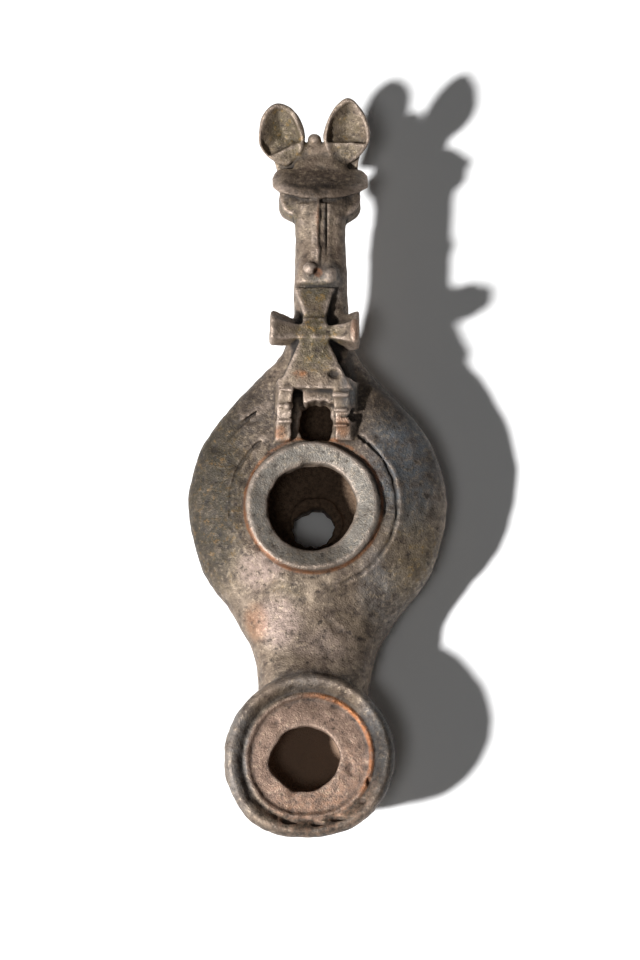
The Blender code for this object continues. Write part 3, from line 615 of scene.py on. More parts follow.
def ear_hollow(side):
    """The ear's hollow: three flat facets that meet in its deepest point, shut off below."""
    def form(x, y, z):
        a, b, c, length = ear_frame(x, y, z, side)
        facets = []
        for angle, run in ((32.5, 1.0), (147.5, 1.0), (270.0, 0.62 if side > 0 else 0.95)):
            turn = math.radians(angle)
            facing = a * math.cos(turn) + (b - 0.6) * math.sin(turn)
            facets.append(facing / (run * EAR_HALF_WIDTH))
        floor = EAR_HOLLOW * (np.maximum.reduce(facets) - 1.0)
        rim = leaf(a - side * 0.4, b, length, EAR_RIM - 0.25, side)
        rim = (rim - 0.6 * np.minimum(c, 0.0)) * 0.86
        bottom = (-0.9 - b) if side > 0 else (-1.7 + 0.25 * a - b)
        return shared(rim, bottom, (floor - c) * 0.93)
    return form


def ear_stem(side):
    """The flat stem that carries an ear, from the brow to the ear's heart."""
    root_x, top_x = (4.9, 5.5) if side > 0 else (-4.2, -5.7)
    start = BROW_Y + 0.8 * BROW_DEPTH
    end = EAR_BASE_Y + 0.35 * EAR_LENGTH

    def form(x, y, z):
        share = np.clip((y - start) / (end - start), 0.0, 1.0)
        middle = root_x + (top_x - root_x) * share
        half = EAR_HALF_WIDTH * (0.68 + 0.14 * share)
        surface = EAR_BASE_Z + (y - EAR_BASE_Y) * math.tan(EAR_RISE) - 0.4 * EAR_THICKNESS
        under = surface - EAR_THICKNESS * (0.9 - 0.4 * share)
        corners = [
            (middle - 0.8 * half, under), (middle + 0.8 * half, under),
            (middle + half, surface), (middle - half, surface),
        ]
        return faceted_bar(y, x, z, corners, start, end)
    return form


def poll_bar(x, y, z):
    """The short bar between the ears that ends the head."""
    dx, dy, dz = x - POLL_CENTRE[0], y - POLL_CENTRE[1], z - POLL_CENTRE[2]
    return np.maximum(np.hypot(dy, dz) - POLL_RADIUS, np.abs(dx) - POLL_HALF_LENGTH)


def side_arm(side):
    """A side arm of the cross, which rises like a wing and has a steep rear facet."""
    def form(x, y, z):
        reach = side * (x - CROSS_SHIFT)
        share = np.clip(reach / CROSS_ARM_LENGTH, 0.0, 1.0)
        middle = CROSS_Y - side * CROSS_SKEW * share
        rear = middle + 0.5 + 0.7 * share
        front = middle - 1.9 - 1.5 * share**1.6
        top = CROSS_TOP + CROSS_ARM_RISE * share**2
        bottom = top - CROSS_ARM_THICKNESS - (1.0 - share) * 2.0
        foot_y = rear + 1.8 + 1.2 * share
        corners = [
            (front - 0.2, bottom - 1.0), (foot_y, bottom - 1.0), (foot_y, bottom), (rear, top),
            (front, top - 0.4 * share),
        ]
        arm = faceted_bar(reach, y, z, corners, 0.0, CROSS_ARM_LENGTH + 1.0)
        arm = -soft_min(-arm, CROSS_ARM_LENGTH - reach - 0.1 * (z - top), 1.2)
        scoop_y = rear + 7.9 - 0.3 * share
        scoop_z = top - 1.1 + 3.7 * share
        scoop = 8.0 - np.hypot(y - scoop_y, z - scoop_z)
        return -soft_min(-arm, -scoop, 0.15)
    return form


def upright_arm(x, y, z, towards):
    """The head arm (1) or the stem (-1) of the cross."""
    along = towards * (y - CROSS_Y)
    if towards > 0:
        share = np.clip(along / CROSS_HEAD_LENGTH, 0.0, 1.0)
        spread = CROSS_WAIST + 1.9 * share**1.8
        top = CROSS_TOP - CROSS_HEAD_DROP * share
        bottom, end = CROSS_FOOT + 1.0, CROSS_HEAD_LENGTH
    else:
        share = np.clip(along / CROSS_STEM_LENGTH, 0.0, 1.0)
        spread = CROSS_WAIST + (LUG_GAP / 2 + LUG_THICKNESS - CROSS_WAIST) * share**1.5
        top = CROSS_TOP + (LUG_TOP - CROSS_TOP) * share
        bottom, end = CROSS_FOOT - 2.0, CROSS_STEM_LENGTH
    draft = CROSS_DRAFT if towards < 0 else 0.4 * CROSS_DRAFT
    corners = [(-spread - draft, bottom), (spread + draft, bottom), (spread, top), (-spread, top)]
    return faceted_bar(along, x - CROSS_SHIFT, z, corners, -2.0, end)


def lug(side):
    """One hinge lug, which steps down towards the filler ring."""
    rear = CROSS_Y - CROSS_STEM_LENGTH + 2.0

    def form(x, y, z):
        share = np.clip((rear - y) / (rear - LUG_FRONT_Y), 0.0, 1.0)
        inner = LUG_GAP / 2 - (0.5 if side > 0 else 0.1) + 0.4 * share
        outer = inner + LUG_THICKNESS
        top = LUG_TOP + (LUG_FRONT_TOP - LUG_TOP) * share**1.6
        foot_z = BULB_TOP - 1.6
        foot_u = outer + (2.5 if side > 0 else 0.8)
        corners = [(inner, foot_z), (foot_u, foot_z), (outer, top - 0.2), (inner, top)]
        if side < 0:
            corners = [(-u, v) for u, v in reversed(corners)]
        return faceted_bar(y, x - LUG_SHIFT, z, corners, LUG_FRONT_Y, rear)
    return form


def add_node(tree, kind, inputs=(), **settings):
    """Add one node, with its settings, and with values or links on its inputs."""
    made = tree.nodes.new(kind)
    for name, value in settings.items():
        setattr(made, name, value)
    for place, value in dict(inputs).items():
        if isinstance(value, bpy.types.NodeSocket):
            tree.links.new(value, made.inputs[place])
        else:
            made.inputs[place].default_value = value
    return made


def geometry_tree(name, inputs):
    """An empty geometry tree with named inputs, and the identifiers that set them."""
    tree = bpy.data.node_groups.new(name, "GeometryNodeTree")
    tree.interface.new_socket("Geometry", in_out="OUTPUT", socket_type="NodeSocketGeometry")
    identifiers = {}
    for label, kind in inputs.items():
        socket = tree.interface.new_socket(label, in_out="INPUT", socket_type="NodeSocket" + kind)
        identifiers[label] = socket.identifier
    return tree, identifiers


def grown(name, tree, identifiers, values):
    """Run a geometry tree once and return its result as points and triangles."""
    holder = bpy.data.objects.new(name, bpy.data.meshes.new(name))
    bpy.context.scene.collection.objects.link(holder)
    modifier = holder.modifiers.new(name, "NODES")
    modifier.node_group = tree
    for label, value in values.items():
        modifier[identifiers[label]] = value
    depsgraph = bpy.context.evaluated_depsgraph_get()
    mesh = bpy.data.meshes.new_from_object(holder.evaluated_get(depsgraph), depsgraph=depsgraph)
    mesh.calc_loop_triangles()
    points = np.zeros(len(mesh.vertices) * 3, np.float32)
    mesh.vertices.foreach_get("co", points)
    triangles = np.zeros(len(mesh.loop_triangles) * 3, np.int32)
    mesh.loop_triangles.foreach_get("vertices", triangles)
    bpy.data.objects.remove(holder)
    bpy.data.meshes.remove(mesh)
    return points.reshape(-1, 3), triangles.reshape(-1, 3)


def rib_tree():
    """A row of short round ribs across a hinge lug, one at each step along it."""
    tree, names = geometry_tree("hinge_ribs", {
        "Count": "Int", "Start": "Vector", "Step": "Vector", "Length": "Float", "Radius": "Float",
        "Material": "Material",
    })
    given = tree.nodes.new("NodeGroupInput").outputs
    line = add_node(tree, "GeometryNodeMeshLine", {
        "Count": given["Count"], "Start Location": given["Start"], "Offset": given["Step"],
    })
    rib = add_node(tree, "GeometryNodeMeshCylinder", {
        "Vertices": 14, "Radius": given["Radius"], "Depth": given["Length"],
    })
    lying = add_node(tree, "GeometryNodeTransform", {
        "Geometry": rib.outputs["Mesh"], "Rotation": (0.0, math.pi / 2, 0.0),
    })
    row = add_node(tree, "GeometryNodeInstanceOnPoints", {
        "Points": line.outputs[0], "Instance": lying.outputs[0],
    })
    real = add_node(tree, "GeometryNodeRealizeInstances", {"Geometry": row.outputs[0]})
    finish = add_node(tree, "GeometryNodeSetMaterial", {
        "Geometry": real.outputs[0], "Material": given["Material"],
    })
    add_node(tree, "NodeGroupOutput", {"Geometry": finish.outputs[0]})
    return tree, names


def bead_tree():
    """A thin round wire that runs in a circle and wavers as the wax model's did."""
    tree, names = geometry_tree("collar_bead", {
        "Radius": "Float", "Bead": "Float", "Waver": "Float", "Place": "Vector",
        "Material": "Material",
    })
    given = tree.nodes.new("NodeGroupInput").outputs
    circle = add_node(tree, "GeometryNodeCurvePrimitiveCircle", {
        "Resolution": 160, "Radius": given["Radius"],
    })
    where = tree.nodes.new("GeometryNodeInputPosition")
    waver = add_node(tree, "ShaderNodeTexNoise", {
        "Vector": where.outputs[0], "Scale": 0.35, "Detail": 2.0,
    })
    centred = add_node(
        tree, "ShaderNodeVectorMath", {0: waver.outputs["Color"], 1: (0.5, 0.5, 0.5)},
        operation="SUBTRACT",
    )
    scaled = add_node(
        tree, "ShaderNodeVectorMath", {0: centred.outputs[0], "Scale": given["Waver"]},
        operation="SCALE",
    )
    moved = add_node(
        tree, "ShaderNodeVectorMath", {0: scaled.outputs[0], 1: given["Place"]}, operation="ADD"
    )
    path = add_node(tree, "GeometryNodeSetPosition", {
        "Geometry": circle.outputs[0], "Offset": moved.outputs[0],
    })
    section = add_node(tree, "GeometryNodeCurvePrimitiveCircle", {
        "Resolution": 12, "Radius": given["Bead"],
    })
    tube = add_node(tree, "GeometryNodeCurveToMesh", {
        "Curve": path.outputs[0], "Profile Curve": section.outputs[0],
    })
    finish = add_node(tree, "GeometryNodeSetMaterial", {
        "Geometry": tube.outputs[0], "Material": given["Material"],
    })
    add_node(tree, "NodeGroupOutput", {"Geometry": finish.outputs[0]})
    return tree, names


def mesh_form(points, triangles):
    """A closed mesh as a form, after the corners of a box round it."""
    band = 3.0
    corners = np.ascontiguousarray(triangles.astype(np.uint32))

    def form(*places):
        start = np.array([p.ravel()[0] for p in places])
        cells = np.ascontiguousarray(((points - start) / CELL).astype(np.float32))
        shell = openvdb.FloatGrid.createLevelSetFromPolygons(
            cells, triangles=corners, halfWidth=band
        )
        field = np.full([p.size for p in places], band, np.float32)
        shell.copyToArray(field, ijk=(0, 0, 0))
        return field * CELL
    return points.min(axis=0), points.max(axis=0), form


def add_collar(casting, material):
    """The worn wire round the foot of the ring, and the groove round the collar."""
    tree, names = bead_tree()
    fillet = 0.2
    for radius, size, lift, shape in (
        (RING_RADIUS + 0.15, BEAD_RADIUS, BULB_TOP - 0.35, casting.join),
        (GROOVE_RADIUS, GROOVE_WIDTH, BULB_TOP - 0.6, casting.carve),
    ):
        points, triangles = grown("collar_bead", tree, names, {
            "Radius": radius, "Bead": size, "Waver": WIRE_WAVER, "Material": material,
            "Place": (*WIRE_CENTRE, lift),
        })
        shape(*mesh_form(points, triangles), fillet)


def add_lug_ribs(casting, material):
    """The small ribs that cross the hinge lugs, a row on each."""
    tree, names = rib_tree()
    for start, step in (
        ((4.8, 21.2, 26.9), (0.0, -2.8, -1.0)),
        ((-5.9, 22.2, 27.0), (0.0, -2.9, -0.95)),
    ):
        points, triangles = grown("hinge_ribs", tree, names, {
            "Count": RIB_COUNT, "Start": start, "Step": step, "Length": LUG_THICKNESS,
            "Radius": RIB_RADIUS, "Material": material,
        })
        casting.join(*mesh_form(points, triangles), 0.35)


def ledge(x, y, z):
    """What is left of the broken wall between the lugs, with its ragged edge."""
    edge = 19.9 + 0.16 * np.sin(1.9 * x + 0.5) + 0.14 * np.sin(4.3 * x + 1.0)
    return shared(np.abs(x - 1.4) - 3.9, edge - y, y - 24.0, 21.0 - z, z - 25.7)


def arc_groove(x, y, z):
    """The short arc scratched into the upper left of the shoulder."""
    radius = np.hypot(x - ARC_CENTRE[0], y - ARC_CENTRE[1])
    return np.maximum(np.hypot(radius - ARC_RADIUS, z - 20.9) - 0.5, x + 7.8)


def pin_hole(x, y, z):
    return np.maximum(np.hypot(y - PIN_Y, z - PIN_Z) - PIN_RADIUS, np.abs(x) - 12.0)


def socket_tube(x, y, z):
    """The broken end of the pricket socket, inside the chamber."""
    cone = np.hypot(x, y) - (SOCKET_RADIUS + SOCKET_WALL) + 0.1 * (z - 3.0)
    return shared(cone, 2.4 - z, z - BULB_UNDERSIDE - WALL - SOCKET_HEIGHT)


def oil_space(casting, vessel):
    """Distance to the hollow: the vessel less its wall, and the round bowl of the nozzle."""
    carved = np.maximum(vessel + WALL, (casting.axes[1] - CHAMBER_END).reshape(1, -1, 1))
    ceiling = NOZZLE_TOP - NOZZLE_DISH - WALL
    cut, (x, y, z) = casting.near((-16, -64, 6), (14, -34, 20))
    radius = np.hypot(x - NOZZLE_CENTRE[0], y - NOZZLE_CENTRE[1])
    inner = NOZZLE_BOWL_RADIUS - WALL
    profile = [(0.0, ceiling), (inner - 1.2, ceiling), (inner - 0.3, ceiling - 1.0)]
    profile += bowl_curve(inner, NOZZLE_UNDERSIDE + WALL)
    carved[cut] = soft_min(carved[cut], turned(radius, z, profile), 1.0)
    return carved


def add_head(casting):
    """The handle and the animal's head. Each form has a box round it and a fillet."""
    casting.join((-6, 29, 11), (8, 74, 27), handle, 1.6)
    casting.join((-4.5, 43, 21), (5, 60, 28), muzzle, 0.6)
    casting.join((-2.5, 46, 25), (2.5, 63, 28.5), nose_ridge, 0.25)
    casting.join(*ball((-1.1, MUZZLE_Y + 1.0, HANDLE_TOP + 0.6), (1.3, 1.2, 0.9)), 0.4)
    casting.join(*ball((2.6, MUZZLE_Y - 0.2, HANDLE_TOP - 0.2), (1.5, 1.7, 1.0)), 0.4)
    for side in (-1, 1):
        middle = HANDLE_SHIFT + 4.5 * side
        casting.join((middle - 4, 55, 19), (middle + 4, 62, 27), eye(side), 0.45)
    casting.join((-9, 60, 18), (11, 70, 28), brow, 0.35)
    for side in (-1, 1):
        casting.join((-10, 66, 17), (10, 75, 25), ear_stem(side), 0.8)
    for side in (-1, 1):
        middle = 5.5 * side
        casting.join((middle - 7, 68, 17), (middle + 7, 84, 29), ear(side), 0.5)
        casting.carve((middle - 6, 69, 19), (middle + 6, 83, 29), ear_hollow(side), 0.12)
    casting.join((-5, 71, 20), (4.4, 75, 23.5), poll_bar, 0.6)
    casting.join(*ball((-0.3, HEAD_END + 1.4, 22.7), (1.6, 1.4, 1.3)), 0.4)
    casting.carve((1.5, 48, 25), (3, 62, 29), flute, 0.15)
    casting.carve(*ball((0.4, MUZZLE_Y + 0.3, HANDLE_TOP + 1.0), (0.9, 0.9, 1.0)), 0.2)


def add_cross(casting, material):
    """The flared cross and the two hinge lugs that its stem runs into."""
    for towards, low, high in ((-1, (-7, 22, 19), (7, 37, 28)), (1, (-6, 32, 22), (6, 44, 28))):
        arm = functools.partial(upright_arm, towards=towards)
        casting.join(low, high, arm, 0.5)
    for side in (-1, 1):
        low, high = sorted((0.0, 9.0 * side))
        casting.join((low, 30, 22), (high, 41, 31), side_arm(side), 0.9)
        casting.join((-9, 12, 20), (9, 25, 28), lug(side), 0.3)
    casting.join((-3, 19, 21), (5.5, 24, 26), ledge, 0.4)
    casting.carve(*ball((3.6, 25.2, 27.6), (1.5, 1.1, 0.9)), 0.3)
    casting.carve(*ball((4.5, 34.0, 29.4), (1.1, 0.7, 0.7)), 0.3)
    casting.join(*ball((7.4, 33.3, 30.1), (0.9, 2.4, 0.8)), 0.5)
    casting.join(*ball((-5.6, 19.0, 26.5), (0.9, 0.9, 0.9)), 0.2)
    add_lug_ribs(casting, material)


def cast_lamp(material):
    """The whole casting as a block of distances, with its hollow."""
    casting = Casting()
    casting.join((-26, -49, 2), (26, 36, 24), pear, 0.0)
    vessel = casting.metal.copy()
    casting.join((-15, -15, 0), (15, 15, 5), foot, 1.2)
    casting.join((-18, -17, 17), (18, 19, 23), filler_disc, 1.0)
    casting.join((-15, -14, 20), (13, 14, 24), filler_ring, 0.5)
    casting.join((-18.5, -66, 4), (16, -32, 23.5), nozzle, 1.6)
    add_collar(casting, material)
    add_head(casting)
    add_cross(casting, material)
    casting.carve((-17, 13, 19), (-7, 22, 24), arc_groove, 0.2)
    casting.inside = oil_space(casting, vessel)
    casting.metal = -soft_min(-casting.metal, casting.inside, 0.2)
    casting.join((-6, -6, 2), (6, 6, 6), socket_tube, 0.8)
    return casting


def open_holes(casting):
    """Every hole through the wall, worn or broken as found, and the chips in the nozzle."""
    # Waves are (count, size, phase) round the edge, corners are (degrees, size, width)
    filler_waves = ((2, 0.012, 0.3), (5, 0.006, 1.7), (11, 0.005, 0.6))
    wick_waves = ((2, 0.015, 0.4), (3, 0.012, 1.9), (9, 0.008, 1.0))
    wick_corners = ((186.0, 0.07, 14.0), (222.0, -0.035, 22.0), (150.0, -0.02, 18.0))
    socket_waves = ((2, 0.03, 0.6), (5, 0.03, 1.0), (12, 0.03, 0.4))
    break_waves = ((2, 0.03, 1.1), (7, 0.03, 2.0), (13, 0.025, 0.2))
    break_corners = (
        (-42.0, 0.22, 22.0), (-138.0, 0.2, 22.0), (48.0, 0.14, 20.0), (132.0, 0.02, 20.0),
    )

    def upright(centre, radii, waves, low, high, corners=()):
        def form(x, y, z):
            return shared(ragged(x, y, centre, radii, waves, corners), low - z, z - high)
        reach = max(radii) * 1.3
        corner = (centre[0] - reach, centre[1] - reach, low)
        casting.carve(corner, (centre[0] + reach, centre[1] + reach, min(high, 31)), form, 0.35)

    upright(FILLER_CENTRE, (FILLER_RADIUS, FILLER_RADIUS), filler_waves, 17.0, 40.0)
    upright(WICK_CENTRE, WICK_RADII, wick_waves, 16.9, 40.0, wick_corners)
    upright(SOCKET_HOLE, (SOCKET_RADIUS, SOCKET_RADIUS - 0.2), socket_waves, -5.0, 7.5)
    upright(BREAK_CENTRE, BREAK_RADII, break_waves, 12.0, 40.0, break_corners)
    casting.carve((-12, 16, 22), (12, 20, 25), pin_hole, 0.2)
    casting.carve(*ball((-2.2, -64.6, 21.6), (1.0, 0.7, 1.4)), 0.3)
    for place, radii in (
        ((8.6, -56.9, 21.6), (1.0, 0.6, 0.9)), ((10.1, -53.2, 21.4), (0.45, 0.9, 0.9)),
        ((4.4, -60.4, 21.4), (1.4, 0.5, 0.9)), ((0.5, -61.3, 21.4), (1.2, 0.4, 0.7)),
        ((-5.0, -60.8, 21.4), (1.6, 0.5, 0.8)),
    ):
        casting.carve(*ball(place, radii), 0.15)


def age(casting):
    """Casting waves, grit and corrosion pits, worked in. The lugs are rubbed free of pits."""
    waves = 0.09 * casting.swell(5.0, 11) + 0.05 * casting.swell(2.0, 12)
    grit = casting.swell(0.8, 23)
    pits = np.clip(casting.swell(1.1, 24) - 1.2, 0.0, 1.5)
    rubbed, _ = casting.near((-5, 15, 24), (5, 21, 26))
    pits[rubbed] = 0.0
    casting.metal += waves + 0.035 * grit + 0.14 * pits
    casting.metal = np.maximum(casting.metal, -casting.axes[2])


def lamp_skin(casting, material):
    """The closed surface of the block, thinned out to even triangles."""
    grid = openvdb.FloatGrid()
    grid.background = FAR
    grid.copyFromArray(casting.metal)
    points, triangles, quads = grid.convertToPolygons(0.0, 0.0)
    points = points * CELL + np.array([axis[0] for axis in casting.axes])
    mesh = bpy.data.meshes.new("bronze_lamp")
    faces = len(quads)
    mesh.vertices.add(len(points))
    placed = points * MM + np.array(ORIGIN)
    mesh.vertices.foreach_set("co", placed.astype(np.float32).ravel())
    mesh.loops.add(4 * faces)
    mesh.loops.foreach_set("vertex_index", quads.astype(np.int32).ravel())
    mesh.polygons.add(faces)
    mesh.polygons.foreach_set("loop_start", np.arange(0, 4 * faces, 4, dtype=np.int32))
    mesh.update(calc_edges=True)
    mesh.validate()
    lamp = bpy.data.objects.new("bronze_lamp", mesh)
    bpy.context.scene.collection.objects.link(lamp)
    thin = lamp.modifiers.new("thin", "DECIMATE")
    thin.ratio = TRIANGLES / (2 * faces)
    depsgraph = bpy.context.evaluated_depsgraph_get()
    final = bpy.data.meshes.new_from_object(lamp.evaluated_get(depsgraph), depsgraph=depsgraph)
    lamp.modifiers.remove(thin)
    lamp.data = final
    final.materials.clear()
    final.materials.append(material)
    final.shade_smooth()
    return lamp


def blob(points, centre, reach):
    """1 at a place and 0 beyond its reach, per axis, in millimetres."""
    away = np.linalg.norm((points - centre) / reach, axis=1)
    return 1.0 - soft_step(away, 0.4, 1.0)


def wear_and_painted_light_maps(casting, lamp):
    """Where the casting is rubbed, crusted, sooty, bare or stained, where painted shade and painted
    highlights lie, and where its inside is lightened as painted light, read from its own shape.
    """
    mesh = lamp.data
    flat = np.zeros(len(mesh.vertices) * 3, np.float32)
    mesh.vertices.foreach_get("co", flat)
    points = (flat.reshape(-1, 3) - np.array(ORIGIN)) / MM
    x, y, z = points.T
    clipped = np.clip(casting.metal, -2.0, 2.0)
    fine = casting.sample(casting.blurred(clipped, 0.55), points)
    broad = casting.sample(casting.blurred(clipped, 1.6), points)
    inside = casting.sample(casting.inside, points)
    disc = np.hypot(x - NOZZLE_CENTRE[0], y - NOZZLE_CENTRE[1])
    disc_angle = np.degrees(np.arctan2(y - NOZZLE_CENTRE[1], x - NOZZLE_CENTRE[0]))
    ring = np.hypot(x - FILLER_CENTRE[0], y - FILLER_CENTRE[1])
    collar = np.hypot(x - WIRE_CENTRE[0], y - WIRE_CENTRE[1])
    on_nozzle = (z > 18.5) * (y < -33)
    on_ears = y > 68

    def around(value, middle, width):
        return 1.0 - soft_step(np.abs(value - middle), 0.4 * width, width)

    def patches(*rows):
        """Soft spots, each with its centre, its reach along each axis and its strength."""
        return shared(*[blob(points, centre, reach) * size for centre, reach, size in rows])

    lip = around(disc, NOZZLE_GROOVE_RADIUS - 0.7, 0.7) * on_nozzle
    lip *= soft_step(disc_angle, -42.0, -25.0) * (1.0 - soft_step(disc_angle, 70.0, 110.0))
    wire = around(collar, RING_RADIUS + 0.2, 0.42) * (z > 20.5)
    bare_spots = patches(
        ((-7.0, 14.2, 24.0), (1.6, 2.0, 2.5), 0.6), ((5.2, 15.5, 24.5), (2.0, 3.4, 2.5), 0.5),
        ((7.6, 33.5, 30.4), (1.2, 3.2, 2.0), 0.4), ((-11.7, -22.1, 17.5), (3.4, 5.0, 5.0), 0.35),
        ((0.4, 45.9, 27.0), (1.1, 1.1, 1.5), 0.9), ((0.4, 55.0, 28.0), (0.4, 7.0, 1.0), 0.6),
        ((-3.0, 25.3, 27.5), (2.0, 0.7, 1.2), 0.7),
    )
    maps = {
        "edge_wear": soft_step(fine, 0.03, 0.2) * (1.0 - 0.75 * on_nozzle - 0.45 * on_ears),
        # Dark crust in the hollows, and painted shade: concave places are darkened towards black.
        "crevice_crust_and_shade": soft_step(-fine, 0.02, 0.14) * 0.6 + soft_step(-broad, 0.08, 0.45) * 0.7,
        # The inside of the oil space: sooty and dull, its colour lightened below as painted light.
        "soot_and_painted_light": 1.0 - soft_step(inside, 0.1, 0.9),
        "copper": shared(lip, 0.75 * wire, bare_spots),
        "pale": soft_step(ring, 8.2, 9.2) * (1.0 - soft_step(ring, 12.6, 13.3)) * (z > 21.5),
        "dish": (1.0 - soft_step(disc, 11.6, 12.4)) * on_nozzle,
        "coarse": patches(((0, -58, 22), (13, 9, 5), 1.0), ((7, -52, 22), (6, 8, 5), 0.7)),
        "olive": patches(
            ((-21, 4, 16), (11, 26, 18), 1.0), ((-5.5, 76, 24), (6, 9, 8), 0.8),
            ((6, 76, 25), (5, 9, 8), 0.6), ((0, 32, 27), (7, 9, 5), 0.9),
            ((0, 42, 27), (5, 4, 5), 0.8), ((-6, 58, 24), (4, 5, 4), 0.8),
            ((18, -8, 14), (10, 14, 14), 0.5), ((-6, -18, 17), (6, 8, 8), 0.5),
        ),
        "slate": patches(
            ((17, 8, 18), (11, 18, 12), 1.0), ((-14.5, -48, 22), (4, 17, 6), 0.6),
            ((12, -44, 22), (5, 14, 5), 0.8), ((2, 44, 26), (6, 5, 5), 0.6),
            ((6.5, 24, 25), (2.2, 9, 6), 0.9), ((2, 55, 28), (0.8, 8, 2), 0.8),
            ((-2, -34, 21), (10, 3, 4), 0.5), ((12, -14, 16), (6, 12, 12), 0.6),
        ),
        # Dark umber patina in spots, and painted shade: the brow's front and rear faces, under the
        # handle root, the shoulders by the lugs, the spout's join and the lit side of the nozzle
        # rim are darkened.
        "umber_and_painted_shade": patches(
            ((1, 66.5, 25), (10, 4.0, 4), 1.0), ((1, 62.6, 26), (12, 3.6, 4), 1.0),
            ((-5, 38, 28), (5, 3.5, 5), 0.8),
            ((5, 37, 28), (5, 3.0, 5), 0.6), ((0, 30, 18), (13, 9, 8), 0.7),
            ((-23, 0, 12), (11, 30, 14), 0.6), ((17, -20, 12), (10, 14, 12), 0.6),
            ((-13, 19, 18), (14, 13, 10), 1.0), ((14, 18, 18), (15, 17, 11), 0.9),
            ((-19, 6, 18), (10, 24, 12), 0.75), ((13, -50, 22), (8, 18, 8), 0.5),
            ((14, -49, 22), (5, 18, 8), 0.7), ((0, -64, 22), (14, 4, 8), 0.6),
            ((3.6, 25.2, 27), (1.8, 1.4, 1.5), 0.9), ((0, -33, 18), (9, 4, 5), 0.6),
        ),
        # Painted shade, partly a thicker dark patina film: darkens the left flank that faces the
        # light, the shoulders, the nozzle rim and the brow's front.
        "film_and_painted_shade": patches(
            ((-21, 4, 16), (12, 28, 18), 0.85), ((-14, -14, 18), (8, 12, 8), 0.25),
            ((7, -20, 18), (9, 12, 8), 0.55), ((18, 7, 18), (10, 12, 10), 0.4),
            ((14, 21, 18), (10, 10, 8), 0.75), ((-14, 20, 18), (10, 10, 8), 0.65),
            ((0, -26, 20), (9, 7, 6), 0.35), ((-1, -10.5, 23), (9, 5, 2.5), 0.55),
            ((14, -47, 22), (5, 17, 7), 0.85), ((1, -64, 21), (15, 4, 6), 0.6),
            ((1, 62.2, 26.5), (13, 3.2, 5), 0.85), ((-1, -37, 21), (10, 5, 4), 0.4),
            ((-1, -59, 21), (11, 5, 3), 0.3),
        ),
        # Painted light: the floor of the nozzle's bowl, seen through the wick hole, is made lighter
        # still.
        "painted_light_nozzle_floor": (1.0 - soft_step(z, 15.0, 19.0)) * (y < -36),
        # Painted highlight: pale pink spots on the front left of the shoulder and collar, where the
        # key light's glint falls.
        "painted_highlight": patches(
            ((-7, -22, 19), (6, 7, 6), 1.0), ((-11.5, -12, 20), (5, 5, 5), 0.9),
            ((-10, -12, 21.5), (5, 4, 2), 0.8), ((2, -27, 18), (8, 6, 6), 0.4),
        ),
    }
    for name, values in maps.items():
        layer = mesh.attributes.new(name, "FLOAT", "POINT")
        layer.data.foreach_set("value", np.clip(values, 0.0, 1.0).astype(np.float32))


def linear(colour):
    """An sRGB hex colour as the linear values that a shader takes."""
    parts = [int(colour[i:i + 2], 16) / 255 for i in (1, 3, 5)]
    return (*[c / 12.92 if c <= 0.04045 else ((c + 0.055) / 1.055) ** 2.4 for c in parts], 1.0)


